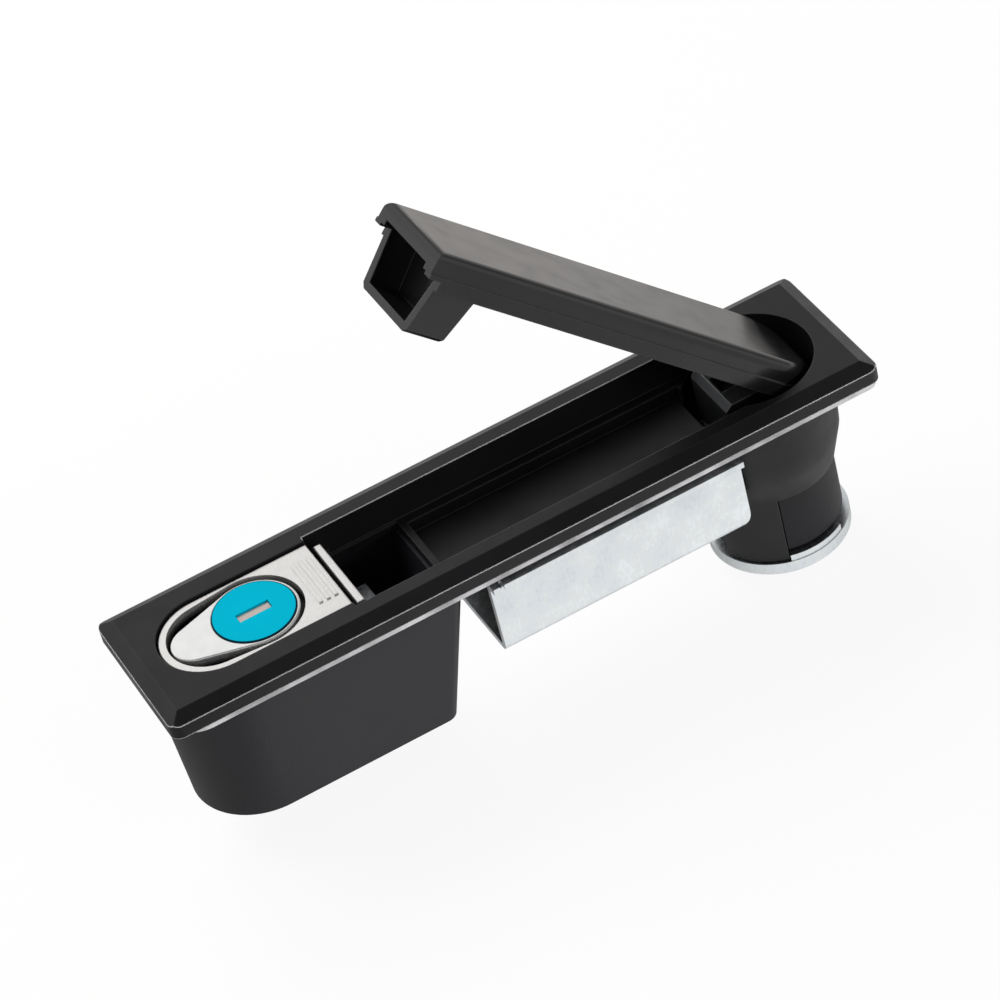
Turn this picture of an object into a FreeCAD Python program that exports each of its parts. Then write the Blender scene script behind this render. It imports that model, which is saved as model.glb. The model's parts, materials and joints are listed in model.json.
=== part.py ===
"""Flush swing handle lock: a long bezel with a finger recess, a pop-up lever on a turning
spindle, and a push button with a key cylinder. Millimetres, +Z out of the door.
The origin is where the spindle's axis crosses the panel seat, the gasket's lower face.
The handle is drawn lowered into its recess and then lifted to its stop."""
import FreeCAD
import Part
import math
import os

V = FreeCAD.Vector

# Bezel and gasket
bezel_length = 170.0
bezel_width = 40.0
bezel_thickness = 5.0
bezel_corner = 2.5
bevel_width = 3.1
bevel_height = 1.8
gasket_thickness = 1.6
gasket_inset = 0.6
hub_from_end = 22.0

# Finger recess, catch pit and hub well
recess_width = 26.8
recess_wall = 1.6
ledge_depth = 7.7
ledge_width = 2.6
floor_depth = 10.8
floor_from_hub = 13.0
floor_from_end = 69.0
rim_ledge = 0.7
frame_depth = 3.0
well_radius = 15.2
well_depth = 16.1

# Handle lever
lift_angle = 45.0
pivot_from_hub = 5.4
pivot_depth = 6.0
handle_proud = 0.6
handle_from_end = 49.8
handle_width = 24.8
handle_depth = 7.8
handle_wall = 4.1
handle_top_wall = 3.2
handle_edge = 2.2
hub_end_reach = 11.0
side_step = 0.4
side_step_depth = 4.5
heel_depth = 3.5
heel_length = 4.0
cap_overhang = 3.1
cap_leg_depth = 5.5
cap_wall = 3.5
catch_length_top = 11.0
catch_length_bottom = 9.5
catch_depth = 18.9
catch_width_top = 24.0
catch_width_bottom = 19.8
catch_wall = 1.8
catch_roof = 4.8
rib_count = 3
rib_thickness = 1.2
rib_height = 2.4

# Spindle, its bearing and the limiter at its foot
pin_radius = 1.75
lug_wall = 1.25
head_back = 9.7
head_edge = 1.5
disc_radius = 12.3
disc_thickness = 2.3
shaft_radius = 8.0
washer_thickness = 0.8
square_side = 9.0
square_round = 5.95
square_drop = 5.0
cam_thread_radius = 2.5
cam_thread_depth = 12.0
seal_section = 1.6
seal_from_seat = 4.0
spigot_top_radius = 18.4
spigot_radius = 17.6
spigot_length = 15.0
cone_length = 8.0
tube_radius = 11.6
sleeve_radius = 14.8
sleeve_short = 2.3
leg_radius = 15.4
leg_inner = 13.0
leg_spans = ((-165.0, -110.0), (38.0, 90.0))
hub_length = 40.2
cup_radius = 16.0
cup_height = 3.4
cup_web = 2.0
lip_height = 1.6
lip_wall = 2.6
lip_span = (-109.0, -57.0)
circlip_sheet = 0.8
circlip_bite = 0.7
circlip_width = 1.4

# Clamp bracket and its screws
bracket_from_box = 4.9
bracket_from_hub = 12.5
bracket_half = 16.0
bracket_sheet = 1.5
bracket_rim = 18.2
bracket_bend = 2.2
bracket_bottom = -22.9
bracket_corner = 4.0
panel_gap = 3.0
clamp_screw_radius = 2.45
clamp_screw_insets = (11.5, 13.5)
clamp_boss_radius = 4.2
clamp_washer_radius = 5.2
clamp_head_radius = 4.6
clamp_head_height = 2.8
recess_slot = 0.9

# Lock box
box_centre_from_end = 20.0
box_radius_top = 17.2
box_radius_bottom = 15.5
box_top_from_end = 69.6
box_bottom_from_end = 61.0
box_depth = 33.4
box_wall = 1.8
box_corner = 3.0
box_lip = 0.8
box_lip_thickness = 0.9
box_screw_radius = 1.25
box_screw_head = 2.5
box_screw_length = 12.0
column_from_end = 49.2
column_width = 4.4
column_inner = 10.1
column_outer = 13.5
column_short = 3.6

# Push button
button_centre_from_end = 19.0
button_radius = 11.75
button_square_from_end = 46.5
button_recess = 0.7
button_plate = 2.2
button_skirt = 5.4
button_gap = 0.35
button_wall = 1.3
button_edge = 0.4
guide_wall = 1.5
lip_half_width = 11.0
lip_drop = 1.0
groove_width = 1.2
groove_depth = 2.5
lip_thickness = 1.8
button_travel = 3.6
grip_rib_count = 3
grip_rib_pitch = 1.8
grip_rib_width = 0.9
grip_rib_height = 0.35
grip_rib_length = 14.0
pocket_radius = 10.0
pocket_radius_front = 11.0
pocket_depth = 3.3
pocket_floor = 1.6
pocket_wall = 0.7

# Key cylinder
barrel_from_end = 28.75
barrel_radius = 9.9
barrel_body_radius = 8.6
lobe_from_barrel = 13.6
lobe_radius = 5.6
lobe_body_radius = 4.6
barrel_length = 23.8
barrel_drop = 0.1
clip_sheet = 0.8
clip_width = 1.1
disc_face_radius = 9.26
disc_face_thickness = 1.1
disc_proud = 0.3
plug_radius = 7.0
slot_length = 7.6
slot_width = 2.6
keyway_depth = 19.0
shutter_thickness = 2.0
shutter_recess = 0.45
shutter_spring_length = 6.0
pin_count = 5
pin_pitch = 3.4
pin_from_face = 5.0
tumbler_radius = 1.2
key_pin_lengths = (2.2, 3.0, 2.5, 3.1, 2.4)
driver_length = 3.6
strip_thickness = 1.0
strip_width = 3.6
tail_radius = 2.6
cam_reach = 8.8
cam_width = 4.4
cam_thickness = 2.0
cam_drop = 3.9
cam_screw_radius = 1.0
cam_screw_head = 3.2

# Latch and springs
latch_sheet = 1.2
latch_half = 8.0
latch_bite = 2.7
latch_arm_inner = 10.4
latch_arm_outer = 13.4
latch_arm_from_end = 24.0
latch_cross_from_end = (38.0, 44.5)
latch_gap = 0.3
ramp_height = 4.8
ramp_from_end = 26.5
ramp_width = 1.5
ramp_line_from_end = 28.3
leg_from_end = 41.0
leg_from_barrel = 3.0
lug_reach = 5.6
spring_post_from_end = 39.5
spring_post_thickness = 1.4
latch_spring_room = 8.0
button_spring_radius = 3.4
popup_spring_half = 2.6

# Named clearances
run = 0.05
seat = 0.3
fine = 0.02

# Levels and places that several pieces share
bezel_top = gasket_thickness + bezel_thickness
bezel_right = hub_from_end
bezel_left = hub_from_end - bezel_length
ledge_z = bezel_top - ledge_depth
floor_z = bezel_top - floor_depth
floor_right = -floor_from_hub
floor_left = bezel_left + floor_from_end
pit_right = floor_left - recess_wall
well_z = bezel_top - well_depth
recess_half = recess_width / 2
pan_half = recess_half + recess_wall - 0.3
pan_half_low = recess_half - ledge_width + recess_wall
pivot_x = pivot_from_hub
pivot_z = bezel_top - pivot_depth
knuckle = pivot_depth + handle_proud
handle_top = pivot_z + knuckle
handle_low = handle_top - handle_depth
handle_free = bezel_left + handle_from_end
handle_half = handle_width / 2
handle_inner = handle_half - handle_wall
handle_roof = handle_top - handle_top_wall
catch_face = handle_free + cap_overhang
catch_back = catch_face + catch_length_top
catch_bottom = handle_top - catch_depth
catch_floor = catch_bottom + catch_wall
spigot_bottom = gasket_thickness - spigot_length
cone_bottom = spigot_bottom - cone_length
hub_bottom = gasket_thickness - hub_length
sleeve_bottom = hub_bottom + sleeve_short
disc_seat = well_z - disc_thickness - washer_thickness - 2 * fine
seal_top = disc_seat - seal_from_seat
shaft_bottom = hub_bottom + 1.0
cup_top = hub_bottom - seat
cup_bottom = cup_top - cup_height
circlip_top = cup_bottom - 0.1
spindle_foot = cup_bottom - square_drop
box_centre = bezel_left + box_centre_from_end
box_end_top = bezel_left + box_top_from_end
box_end_bottom = bezel_left + box_bottom_from_end
box_top = gasket_thickness - fine
box_bottom = -box_depth
box_floor = box_bottom + box_wall
column_x = bezel_left + column_from_end
column_y = (column_inner + column_outer) / 2
bracket_right = -bracket_from_hub
bracket_left = box_end_top + bracket_from_box
clamp_screw_spots = (bracket_left + clamp_screw_insets[0], bracket_right - clamp_screw_insets[1])
button_x = bezel_left + button_centre_from_end
button_end = bezel_left + button_square_from_end
button_top = bezel_top - button_recess
button_under = button_top - button_skirt
pocket_z = button_top - pocket_depth
barrel_x = bezel_left + barrel_from_end
lobe_x = barrel_x - lobe_from_barrel
barrel_top = button_top - barrel_drop
barrel_bottom = barrel_top - barrel_length
disc_bottom = barrel_top + disc_proud - disc_face_thickness
disc_top = disc_bottom + disc_face_thickness
shutter_top = disc_top - shutter_recess
shutter_bottom = shutter_top - shutter_thickness
plug_bottom = barrel_bottom - seat
cam_bottom = plug_bottom - cam_drop
cam_top = cam_bottom + cam_thickness
strip_x = lobe_x - lobe_body_radius + 0.6
clip_top = pocket_z - pocket_floor - fine
latch_arm_end = bezel_left + latch_arm_from_end
latch_cross = (bezel_left + latch_cross_from_end[0], bezel_left + latch_cross_from_end[1])
ramp_left = bezel_left + ramp_from_end
ramp_line = bezel_left + ramp_line_from_end
leg_right = bezel_left + leg_from_end
spring_post_x = bezel_left + spring_post_from_end
latch_bottom = catch_floor + latch_gap
latch_top = latch_bottom + latch_sheet
latch_tip = catch_face + latch_bite
washer_bottom = bracket_bottom - washer_thickness


def box(x0, x1, y0, y1, z0, z1):
    return Part.makeBox(x1 - x0, y1 - y0, z1 - z0, V(x0, y0, z0))


def cyl(x, y, z0, z1, r):
    return Part.makeCylinder(r, z1 - z0, V(x, y, z0))


def cone(x, y, z0, z1, r0, r1):
    return Part.makeCone(r0, r1, z1 - z0, V(x, y, z0))


def rod(at, axis, length, r):
    return Part.makeCylinder(r, length, at, axis)


def ring(x, y, z0, z1, inner, outer):
    return cyl(x, y, z0, z1, outer).cut(cyl(x, y, z0 - 1, z1 + 1, inner))


def sector(z0, z1, inner, outer, start, end):
    """A ring's sector about the spindle's axis, from start to end in degrees."""
    whole = Part.makeCylinder(outer, z1 - z0, V(0, 0, z0), V(0, 0, 1), end - start)
    whole.rotate(V(0, 0, 0), V(0, 0, 1), start)
    return whole.cut(cyl(0, 0, z0 - 1, z1 + 1, inner))


def side_plate(points, y0, y1):
    """A prism along Y from an outline given as (x, z) points."""
    corners = [V(x, y0, z) for x, z in points]
    return Part.Face(Part.makePolygon(corners + corners[:1])).extrude(V(0, y1 - y0, 0))


def end_plate(points, x0, x1):
    """A prism along X from an outline given as (y, z) points."""
    corners = [V(x0, y, z) for y, z in points]
    return Part.Face(Part.makePolygon(corners + corners[:1])).extrude(V(x1 - x0, 0, 0))


def join(first, *others):
    return first.fuse(list(others)).removeSplitter()


def stadium(xa, ra, xb, rb, z0, z1):
    """A prism whose outline wraps two circles on the X axis, the left one at xa."""
    lean = math.asin((rb - ra) / (xb - xa))
    s, c = math.sin(lean), math.cos(lean)
    a_up, a_down = V(xa - ra * s, ra * c, z0), V(xa - ra * s, -ra * c, z0)
    b_up, b_down = V(xb - rb * s, rb * c, z0), V(xb - rb * s, -rb * c, z0)
    edges = [
        Part.Arc(a_up, V(xa - ra, 0, z0), a_down).toShape(),
        Part.LineSegment(a_down, b_down).toShape(),
        Part.Arc(b_down, V(xb + rb, 0, z0), b_up).toShape(),
        Part.LineSegment(b_up, a_up).toShape(),
    ]
    return Part.Face(Part.Wire(edges)).extrude(V(0, 0, z1 - z0))


def round_left(xc, r, x_end, z0, z1):
    """A prism with a half-round left end about xc and a square right end."""
    return join(cyl(xc, 0, z0, z1, r), box(xc, x_end, -r, r, z0, z1))


def d_wire(xc, r, x_end, corner, z):
    """A closed D outline: half-round at the left, rounded corners at the right."""
    k = corner * (1 - math.sqrt(0.5))
    p = [V(xc, -r, z), V(x_end - corner, -r, z), V(x_end, -r + corner, z)]
    q = [V(x_end, r - corner, z), V(x_end - corner, r, z), V(xc, r, z)]
    edges = [
        Part.LineSegment(p[0], p[1]).toShape(),
        Part.Arc(p[1], V(x_end - k, -r + k, z), p[2]).toShape(),
        Part.LineSegment(p[2], q[0]).toShape(),
        Part.Arc(q[0], V(x_end - k, r - k, z), q[1]).toShape(),
        Part.LineSegment(q[1], q[2]).toShape(),
        Part.Arc(q[2], V(xc - r, 0, z), p[0]).toShape(),
    ]
    return Part.Wire(edges)


def wire_along(path, thickness, across, sides=6):
    """A faceted wire through the points of a path that runs round the direction across."""
    loops = []
    for k, point in enumerate(path):
        ahead = path[min(k + 1, len(path) - 1)].sub(path[max(k - 1, 0)])
        out = ahead.cross(across)
        out.normalize()
        up = out.cross(ahead)
        up.normalize()
        loops.append([
            point + out * (thickness * math.cos(2 * math.pi * n / sides))
            + up * (thickness * math.sin(2 * math.pi * n / sides)) for n in range(sides)])
    faces = []
    for low, high in zip(loops, loops[1:]):
        for n in range(sides):
            m = (n + 1) % sides
            faces.append(Part.Face(Part.makePolygon([low[n], low[m], high[m], low[n]])))
            faces.append(Part.Face(Part.makePolygon([low[n], high[m], high[n], low[n]])))
    for end in (loops[0], loops[-1]):
        faces.append(Part.Face(Part.makePolygon(end + end[:1])))
    solid = Part.Solid(Part.makeShell(faces))
    if solid.Volume < 0:
        solid.reverse()
    return solid


def helix(at, axis, start, radius, length, turns, steps=12):
    """Points of a coil about axis, from at, beginning on the side of start."""
    side = axis.cross(start)
    count = int(turns * steps)
    points = []
    for k in range(count + 1):
        turn = 2 * math.pi * k / steps
        rise = axis * (length * k / count)
        points.append(at + rise + start * (radius * math.cos(turn)) + side * (radius * math.sin(turn)))
    return points


def coil(at, axis, start, radius, thickness, length, turns, sides=6, steps=12):
    """A compression spring that fills a length along its axis, wire included."""
    first = at + axis * thickness
    points = helix(first, axis, start, radius, length - 2 * thickness, turns, steps)
    return wire_along(points, thickness, axis, sides)


def lifted(shape):
    """Turns a shape drawn on the lowered handle to its place on the raised one."""
    out = shape.copy()
    out.rotate(V(pivot_x, 0, pivot_z), V(0, 1, 0), lift_angle)
    return out


def edges_at_height(shape, z):
    return [e for e in shape.Edges if abs(e.BoundBox.ZMin - z) < 0.01 and abs(e.BoundBox.ZMax - z) < 0.01]


def upright_edges(shape):
    return [e for e in shape.Edges if abs(e.tangentAt(e.FirstParameter).z) > 0.99]


def bevelled_bezel():
    """The bezel's plate with round corners and the broad bevel along its top."""
    half = bezel_width / 2
    body = box(bezel_left, bezel_right, -half, half, gasket_thickness, bezel_top)
    body = body.makeFillet(bezel_corner, upright_edges(body))
    low = bezel_top - bevel_height
    wedges = []
    for side in (-1, 1):
        y = side * half
        outline = [(y + side, bezel_top + 1), (y + side, low), (y, low),
                   (y - side * bevel_width, bezel_top), (y - side * bevel_width, bezel_top + 1)]
        wedges.append(end_plate(outline, bezel_left - 1, bezel_right + 1))
    for x, side in ((bezel_left, -1), (bezel_right, 1)):
        outline = [(x + side, bezel_top + 1), (x + side, low), (x, low),
                   (x - side * bevel_width, bezel_top), (x - side * bevel_width, bezel_top + 1)]
        wedges.append(side_plate(outline, -half - 1, half + 1))
    return body.cut(wedges)


def recess_pan(grow=0.0):
    """The outside of the recess: broad above its ledge and narrow below it."""
    lip = ledge_z - recess_wall
    half = [(pan_half + grow, gasket_thickness + grow), (pan_half + grow, lip + 1.2 - grow),
            (pan_half_low + 0.6 + grow, lip - grow), (pan_half_low + grow, lip - 0.6 - grow),
            (pan_half_low + grow, floor_z - recess_wall - grow)]
    outline = half + [(-y, z) for y, z in reversed(half)]
    return end_plate(outline, pit_right - grow, 0)


def pit_frame(grow=0.0):
    """The rails beside the catch pit, under the bezel."""
    return box(button_end - grow, pit_right + grow, -pan_half - grow, pan_half + grow,
               -frame_depth - grow, gasket_thickness + grow)


def screw_columns():
    """Two posts that carry the lock box, between the button's guide and the catch pit."""
    out = []
    for side in (-1, 1):
        y0, y1 = sorted((side * column_inner, side * column_outer))
        rail0, rail1 = sorted((side * (recess_half - rim_ledge), side * column_outer))
        x0, x1 = column_x - column_width / 2, column_x + column_width / 2
        out.append(box(x0, x1, y0, y1, box_floor + fine, -column_short))
        out.append(box(x0, x1, rail0, rail1, -column_short - 1, 0))
    return out


def base_housing():
    """The die-cast bezel with its recess, button guide and hub, in one piece."""
    guide_half = button_radius + button_gap + guide_wall
    guide = round_left(button_x, guide_half, button_end + 1.0, latch_top + 0.25, gasket_thickness)
    spigot = cone(0, 0, spigot_bottom, gasket_thickness, spigot_radius, spigot_top_radius)
    taper = cone(0, 0, cone_bottom, spigot_bottom, leg_radius, spigot_radius)
    tube = cyl(0, 0, hub_bottom, spigot_bottom, tube_radius)
    legs = [sector(hub_bottom, cone_bottom + 1, leg_inner, leg_radius, a, b) for a, b in leg_spans]
    bosses = [cyl(x, 0, bracket_bottom + bracket_sheet, floor_z, clamp_boss_radius) for x in clamp_screw_spots]
    body = join(bevelled_bezel(), recess_pan(), pit_frame(), guide, spigot, taper, tube, *legs, *bosses)
    body = body.cut(base_hollows())
    return join(body, *screw_columns()).cut(column_bores())


def base_hollows():
    """Everything cut out of the base: recess, pit, button hole, well and bores."""
    above = bezel_top + 1
    floor_half = recess_half - ledge_width
    pit_half = recess_half - rim_ledge
    broad = box(button_end, 0, -recess_half, recess_half, ledge_z, above)
    deep = box(floor_left, floor_right + 1, -floor_half, floor_half, floor_z, above)
    pit = box(button_end, pit_right, -pit_half, pit_half, latch_top - 1, above)
    hole = round_left(button_x, button_radius + button_gap, button_end + 1.1, latch_top - 1, above)
    well = cyl(0, 0, well_z, above, well_radius).cut(box(-30, floor_right, -30, 30, well_z - 1, floor_z))
    seat_bore = cyl(0, 0, disc_seat, above, disc_radius + seat)
    shaft_bore = cyl(0, 0, hub_bottom - 1, above, shaft_radius + run)
    groove = ring(0, 0, seal_top - seal_section, seal_top, shaft_radius - 1, shaft_radius + seal_section)
    clamp = [cyl(x, 0, bracket_bottom, floor_z - recess_wall / 2, clamp_screw_radius + run)
             for x in clamp_screw_spots]
    return [broad, deep, pit, hole, well, seat_bore, shaft_bore, groove] + clamp


def column_bores():
    return [cyl(column_x, side * column_y, box_bottom, box_bottom + box_screw_length + 2,
                box_screw_radius + run) for side in (-1, 1)]


def panel_gasket():
    """A flat rubber ring that follows the bezel and clears everything that goes through the door."""
    half = bezel_width / 2 - gasket_inset
    plate = box(bezel_left + gasket_inset, bezel_right - gasket_inset, -half, half, 0, gasket_thickness)
    plate = plate.makeFillet(bezel_corner, upright_edges(plate))
    clear = box_lip + 0.2
    pan = box(box_end_top, 0, -pan_half - 0.2, pan_half + 0.2, -1, gasket_thickness + 1)
    hub = cyl(0, 0, -1, gasket_thickness + 1, spigot_top_radius + 0.2)
    outline = d_wire(box_centre, box_radius_top + clear, box_end_top + clear, box_corner, -1)
    lock = Part.Face(outline).extrude(V(0, 0, gasket_thickness + 2))
    return join(plate.cut([pan, hub, lock]))


def lock_box():
    """The drafted D-ended tub under the button, with the latch's rails and the cam's stop post."""
    outer = Part.makeLoft([
        d_wire(box_centre, box_radius_bottom, box_end_bottom, box_corner, box_bottom),
        d_wire(box_centre, box_radius_top, box_end_top, box_corner, box_top)], True, True)
    share = box_wall / (box_top - box_bottom)
    floor_radius = box_radius_bottom + (box_radius_top - box_radius_bottom) * share - box_wall
    floor_end = box_end_bottom + (box_end_top - box_end_bottom) * share - box_wall
    inner = Part.makeLoft([
        d_wire(box_centre, floor_radius, floor_end, box_corner - 1, box_floor),
        d_wire(box_centre, box_radius_top - box_wall, box_end_top - box_wall, box_corner - 1, box_top + fine)],
        True, True)
    lip = Part.Face(d_wire(box_centre, box_radius_top + box_lip, box_end_top + box_lip, box_corner,
                           box_top - box_lip_thickness)).extrude(V(0, 0, box_lip_thickness))
    tub = outer.fuse(lip).cut(inner)
    inside = []
    for side in (-1, 1):
        y0, y1 = sorted((side * (latch_arm_outer - 1.0), side * (floor_radius + 0.4)))
        inside.append(box(box_centre, latch_cross[1] - 1.0, y0, y1, box_bottom + 0.5, latch_bottom - 0.15))
    inside.append(box(spring_post_x - spring_post_thickness, spring_post_x, -3.2, 3.2, box_bottom + 0.5,
                      latch_bottom - 0.6))
    inside.append(box(barrel_x - 2.0, barrel_x + 2.0, -cam_reach, -cam_reach + 3.6, box_bottom + 0.5,
                      cam_bottom - seat))
    inside.append(cyl(lobe_x, 0, box_bottom + 0.5, box_floor + 1.5, button_spring_radius - 1.0))
    holes = [recess_pan(fine), pit_frame(0.1)]
    for side in (-1, 1):
        y = side * column_y
        holes.append(cyl(column_x, y, box_bottom - 1, box_floor + 1, box_screw_radius + run))
        holes.append(cone(column_x, y, box_bottom, box_bottom + box_screw_head - box_screw_radius + run,
                          box_screw_head + run, box_screw_radius))
    return join(tub, *inside).cut(holes).removeSplitter()


def cross_slot(x, y, reach, half, z0, z1):
    """The two cutters of a cross drive."""
    return [box(x - reach, x + reach, y - half, y + half, z0, z1),
            box(x - half, x + half, y - reach, y + reach, z0, z1)]


def box_screws():
    """Two countersunk screws that pull the lock box up against the base."""
    out = []
    neck = box_bottom + box_screw_head - box_screw_radius
    for side in (-1, 1):
        y = side * column_y
        head = cone(column_x, y, box_bottom, neck, box_screw_head, box_screw_radius)
        shank = cyl(column_x, y, neck, box_bottom + box_screw_length, box_screw_radius)
        drive = cross_slot(column_x, y, 1.5, 0.35, box_bottom - 1, box_bottom + 0.7)
        out.append(join(head, shank).cut(drive))
    return Part.Compound(out)


def clamp_bracket():
    """A folded U of plated sheet, open at both ends, with outward rims that grip the door's back."""
    t, half, low, rim_z = bracket_sheet, bracket_half, bracket_bottom, -panel_gap
    left, right = bracket_left, bracket_right
    outer = box(left, right, -half, half, low, rim_z)
    inner = box(left - 1, right + 1, -half + t, half - t, low + t, rim_z + 1)
    rims = box(left, right, -bracket_rim, bracket_rim, rim_z - t, rim_z)
    shape = join(outer, rims).cut(inner)
    along = [e for e in shape.Edges if abs(e.tangentAt(e.FirstParameter).x) > 0.99]
    folds = [e for e in along if abs(abs(e.CenterOfMass.y) - half) < 0.01 and e.CenterOfMass.z < low + 0.1]
    shape = shape.makeFillet(bracket_bend, folds)
    along = [e for e in shape.Edges if abs(e.tangentAt(e.FirstParameter).x) > 0.99]
    elbow = [e for e in along if abs(abs(e.CenterOfMass.y) - half) < 0.01 and e.CenterOfMass.z > rim_z - t - 0.1]
    inside = [e for e in along if abs(abs(e.CenterOfMass.y) - half + t) < 0.01]
    shape = shape.makeFillet(bracket_bend - t, elbow + inside)
    cuts = [cyl(x, 0, low - 1, low + t + 1, clamp_screw_radius + seat) for x in clamp_screw_spots]
    cuts.append(cyl(0, 0, low - 1, low + t + 1, leg_radius + 2 * seat))
    for side in (-1, 1):
        y0, y1 = sorted((side * (half - t - 1), side * (bracket_rim + 1)))
        cuts.append(box(left + 1.6, left + 2.6, y0, y1, rim_z - t - 0.9, rim_z + 1))
    return shape.cut(cuts + [bracket_corner_cut(right, low)]).removeSplitter()


def bracket_corner_cut(right, low):
    """What rounds the lower corner of both walls at the hub's end."""
    r, wide = bracket_corner, bracket_half + 1
    block = box(right - r, right + 1, -wide, wide, low - 1, low + r)
    return block.cut(rod(V(right - r, -wide - 1, low + r), V(0, 1, 0), 2 * wide + 2, r))


def clamp_screws():
    """Pan-head screws up through the bracket's web into the bosses under the recess."""
    out = []
    for x in clamp_screw_spots:
        z = washer_bottom - fine
        head = cyl(x, 0, z - clamp_head_height, z, clamp_head_radius)
        head = head.makeChamfer(1.0, edges_at_height(head, z - clamp_head_height))
        drive = cross_slot(x, 0, 2.8, recess_slot / 2, z - clamp_head_height - 1, z - 1.3)
        out.append(join(head, cyl(x, 0, z, floor_z - recess_wall, clamp_screw_radius)).cut(drive))
    return Part.Compound(out)


def clamp_washers():
    return Part.Compound([
        ring(x, 0, washer_bottom, bracket_bottom, clamp_screw_radius + 0.1, clamp_washer_radius)
        for x in clamp_screw_spots])


def stop_sleeve():
    """The black sleeve on the hub's tube, notched for the two fixed stop legs."""
    top = cone_bottom - fine
    shape = ring(0, 0, sleeve_bottom, top, tube_radius + fine, sleeve_radius)
    gaps = [sector(sleeve_bottom - 1, top + 1, leg_inner - 0.1, leg_radius + 1, a - 0.8, b + 0.8)
            for a, b in leg_spans]
    return join(shape.cut(gaps))


def thrust_washer():
    top = well_z - disc_thickness - fine
    return ring(0, 0, top - washer_thickness, top, shaft_radius + 0.2, disc_radius)


def spindle_seal():
    """The rubber ring in its groove in the hub's bore."""
    r = seal_section / 2 - run
    return Part.makeTorus(shaft_radius + run + r, r, V(0, 0, seal_top - seal_section / 2))


def squared(side, corner_radius, z0, z1):
    """A square bar about the spindle's axis with its corners turned down."""
    half = side / 2
    return box(-half, half, -half, half, z0, z1).common(cyl(0, 0, z0, z1, corner_radius))


def spindle():
    """Fork head with a sloped stop, bearing disc, round shaft and square foot, in one casting."""
    top = handle_roof - seat
    half = handle_inner - 1.6 * seat
    stop = heel_depth + seat
    s = math.sqrt(0.5)
    reach = math.sqrt((knuckle + seat + 0.4) ** 2 - stop ** 2)
    face = (pivot_x - stop * s, pivot_z - stop * s)
    foot = (face[0] + reach * s, face[1] - reach * s)
    base = well_z - disc_thickness
    outline = [(-head_back, base), (-head_back, top - head_edge), (-head_back + head_edge, top), (pivot_x, top),
               (pivot_x, pivot_z), face, foot, (foot[0], base)]
    head = side_plate(outline, -half, half)
    eye = rod(V(pivot_x, -half, pivot_z), V(0, 1, 0), 2 * half, pin_radius + lug_wall)
    head = join(head, eye).common(cyl(0, 0, base, top + 1, disc_radius))
    disc = cyl(0, 0, base, well_z - fine, disc_radius)
    shaft = cyl(0, 0, shaft_bottom, base, shaft_radius)
    square = squared(square_side, square_round, spindle_foot, shaft_bottom)
    body = join(head, disc, shaft, square)
    bore = rod(V(pivot_x, -half - 1, pivot_z), V(0, 1, 0), 2 * half + 2, pin_radius + run)
    pocket_y = popup_spring_half + seat
    pocket = box(pivot_x - 4.0, pivot_x + 8, -pocket_y, pocket_y, pivot_z - 3.4, top + 1)
    leg_slot = box(-head_back + 2.0, pivot_x, -pocket_y, pocket_y, pivot_z + 0.8, top + 1)
    groove = ring(0, 0, circlip_top - circlip_sheet - 0.1, circlip_top, square_round - circlip_bite, square_side)
    tapped = cyl(0, 0, spindle_foot - 1, spindle_foot + cam_thread_depth, cam_thread_radius)
    return join(body.cut([bore, pocket, leg_slot, groove, tapped]))


def limiter_cup():
    """The plated dish on the square, with the raised lip that meets the fixed legs."""
    dish = cyl(0, 0, cup_bottom, cup_top, cup_radius)
    dish = dish.makeChamfer(0.6, edges_at_height(dish, cup_bottom))
    rim = cup_radius - 0.2
    lip = sector(cup_top - 0.5, cup_top + lip_height, rim - lip_wall, rim, *lip_span)
    bore = squared(square_side + 2 * run, square_round + run, cup_bottom - 1, cup_top + 1)
    under = ring(0, 0, cup_bottom - 1, cup_top - cup_web, square_side, rim - 2.0)
    return join(dish, lip).cut([bore, under]).removeSplitter()


def spindle_circlip():
    """The spring clip in the square's corner grooves that keeps the cup on."""
    outer = square_round + circlip_width
    clip = ring(0, 0, circlip_top - circlip_sheet, circlip_top - run, square_round - circlip_bite + fine, outer)
    return clip.cut(box(0, outer + 1, -2.2, 2.2, circlip_top - 3, circlip_top + 1))


def handle_side(half, low):
    """The handle's side outline pushed out to a width: flat top, then the knuckle about the pin."""
    rise = math.asin(heel_depth / knuckle)
    turn = (math.pi / 2 - rise) / 2
    end = V(pivot_x + knuckle * math.cos(rise), -half, pivot_z - heel_depth)
    top_right = V(pivot_x, -half, handle_top)
    mid = V(pivot_x + knuckle * math.cos(turn), -half, pivot_z + knuckle * math.sin(turn))
    corners = [end, V(pivot_x - 1.0, -half, pivot_z - heel_depth), V(pivot_x - heel_length, -half, low),
               V(handle_free, -half, low), V(handle_free, -half, handle_top), top_right]
    edges = [Part.LineSegment(a, b).toShape() for a, b in zip(corners, corners[1:])]
    edges.append(Part.Arc(top_right, mid, end).toShape())
    solid = Part.Face(Part.Wire(edges)).extrude(V(0, 2 * half, 0))
    centre = hub_end_reach - handle_half
    plan = join(cyl(centre, 0, -30, 30, half), box(handle_free - 1, centre, -half, half, -30, 30))
    return solid.common(plan)


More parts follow.
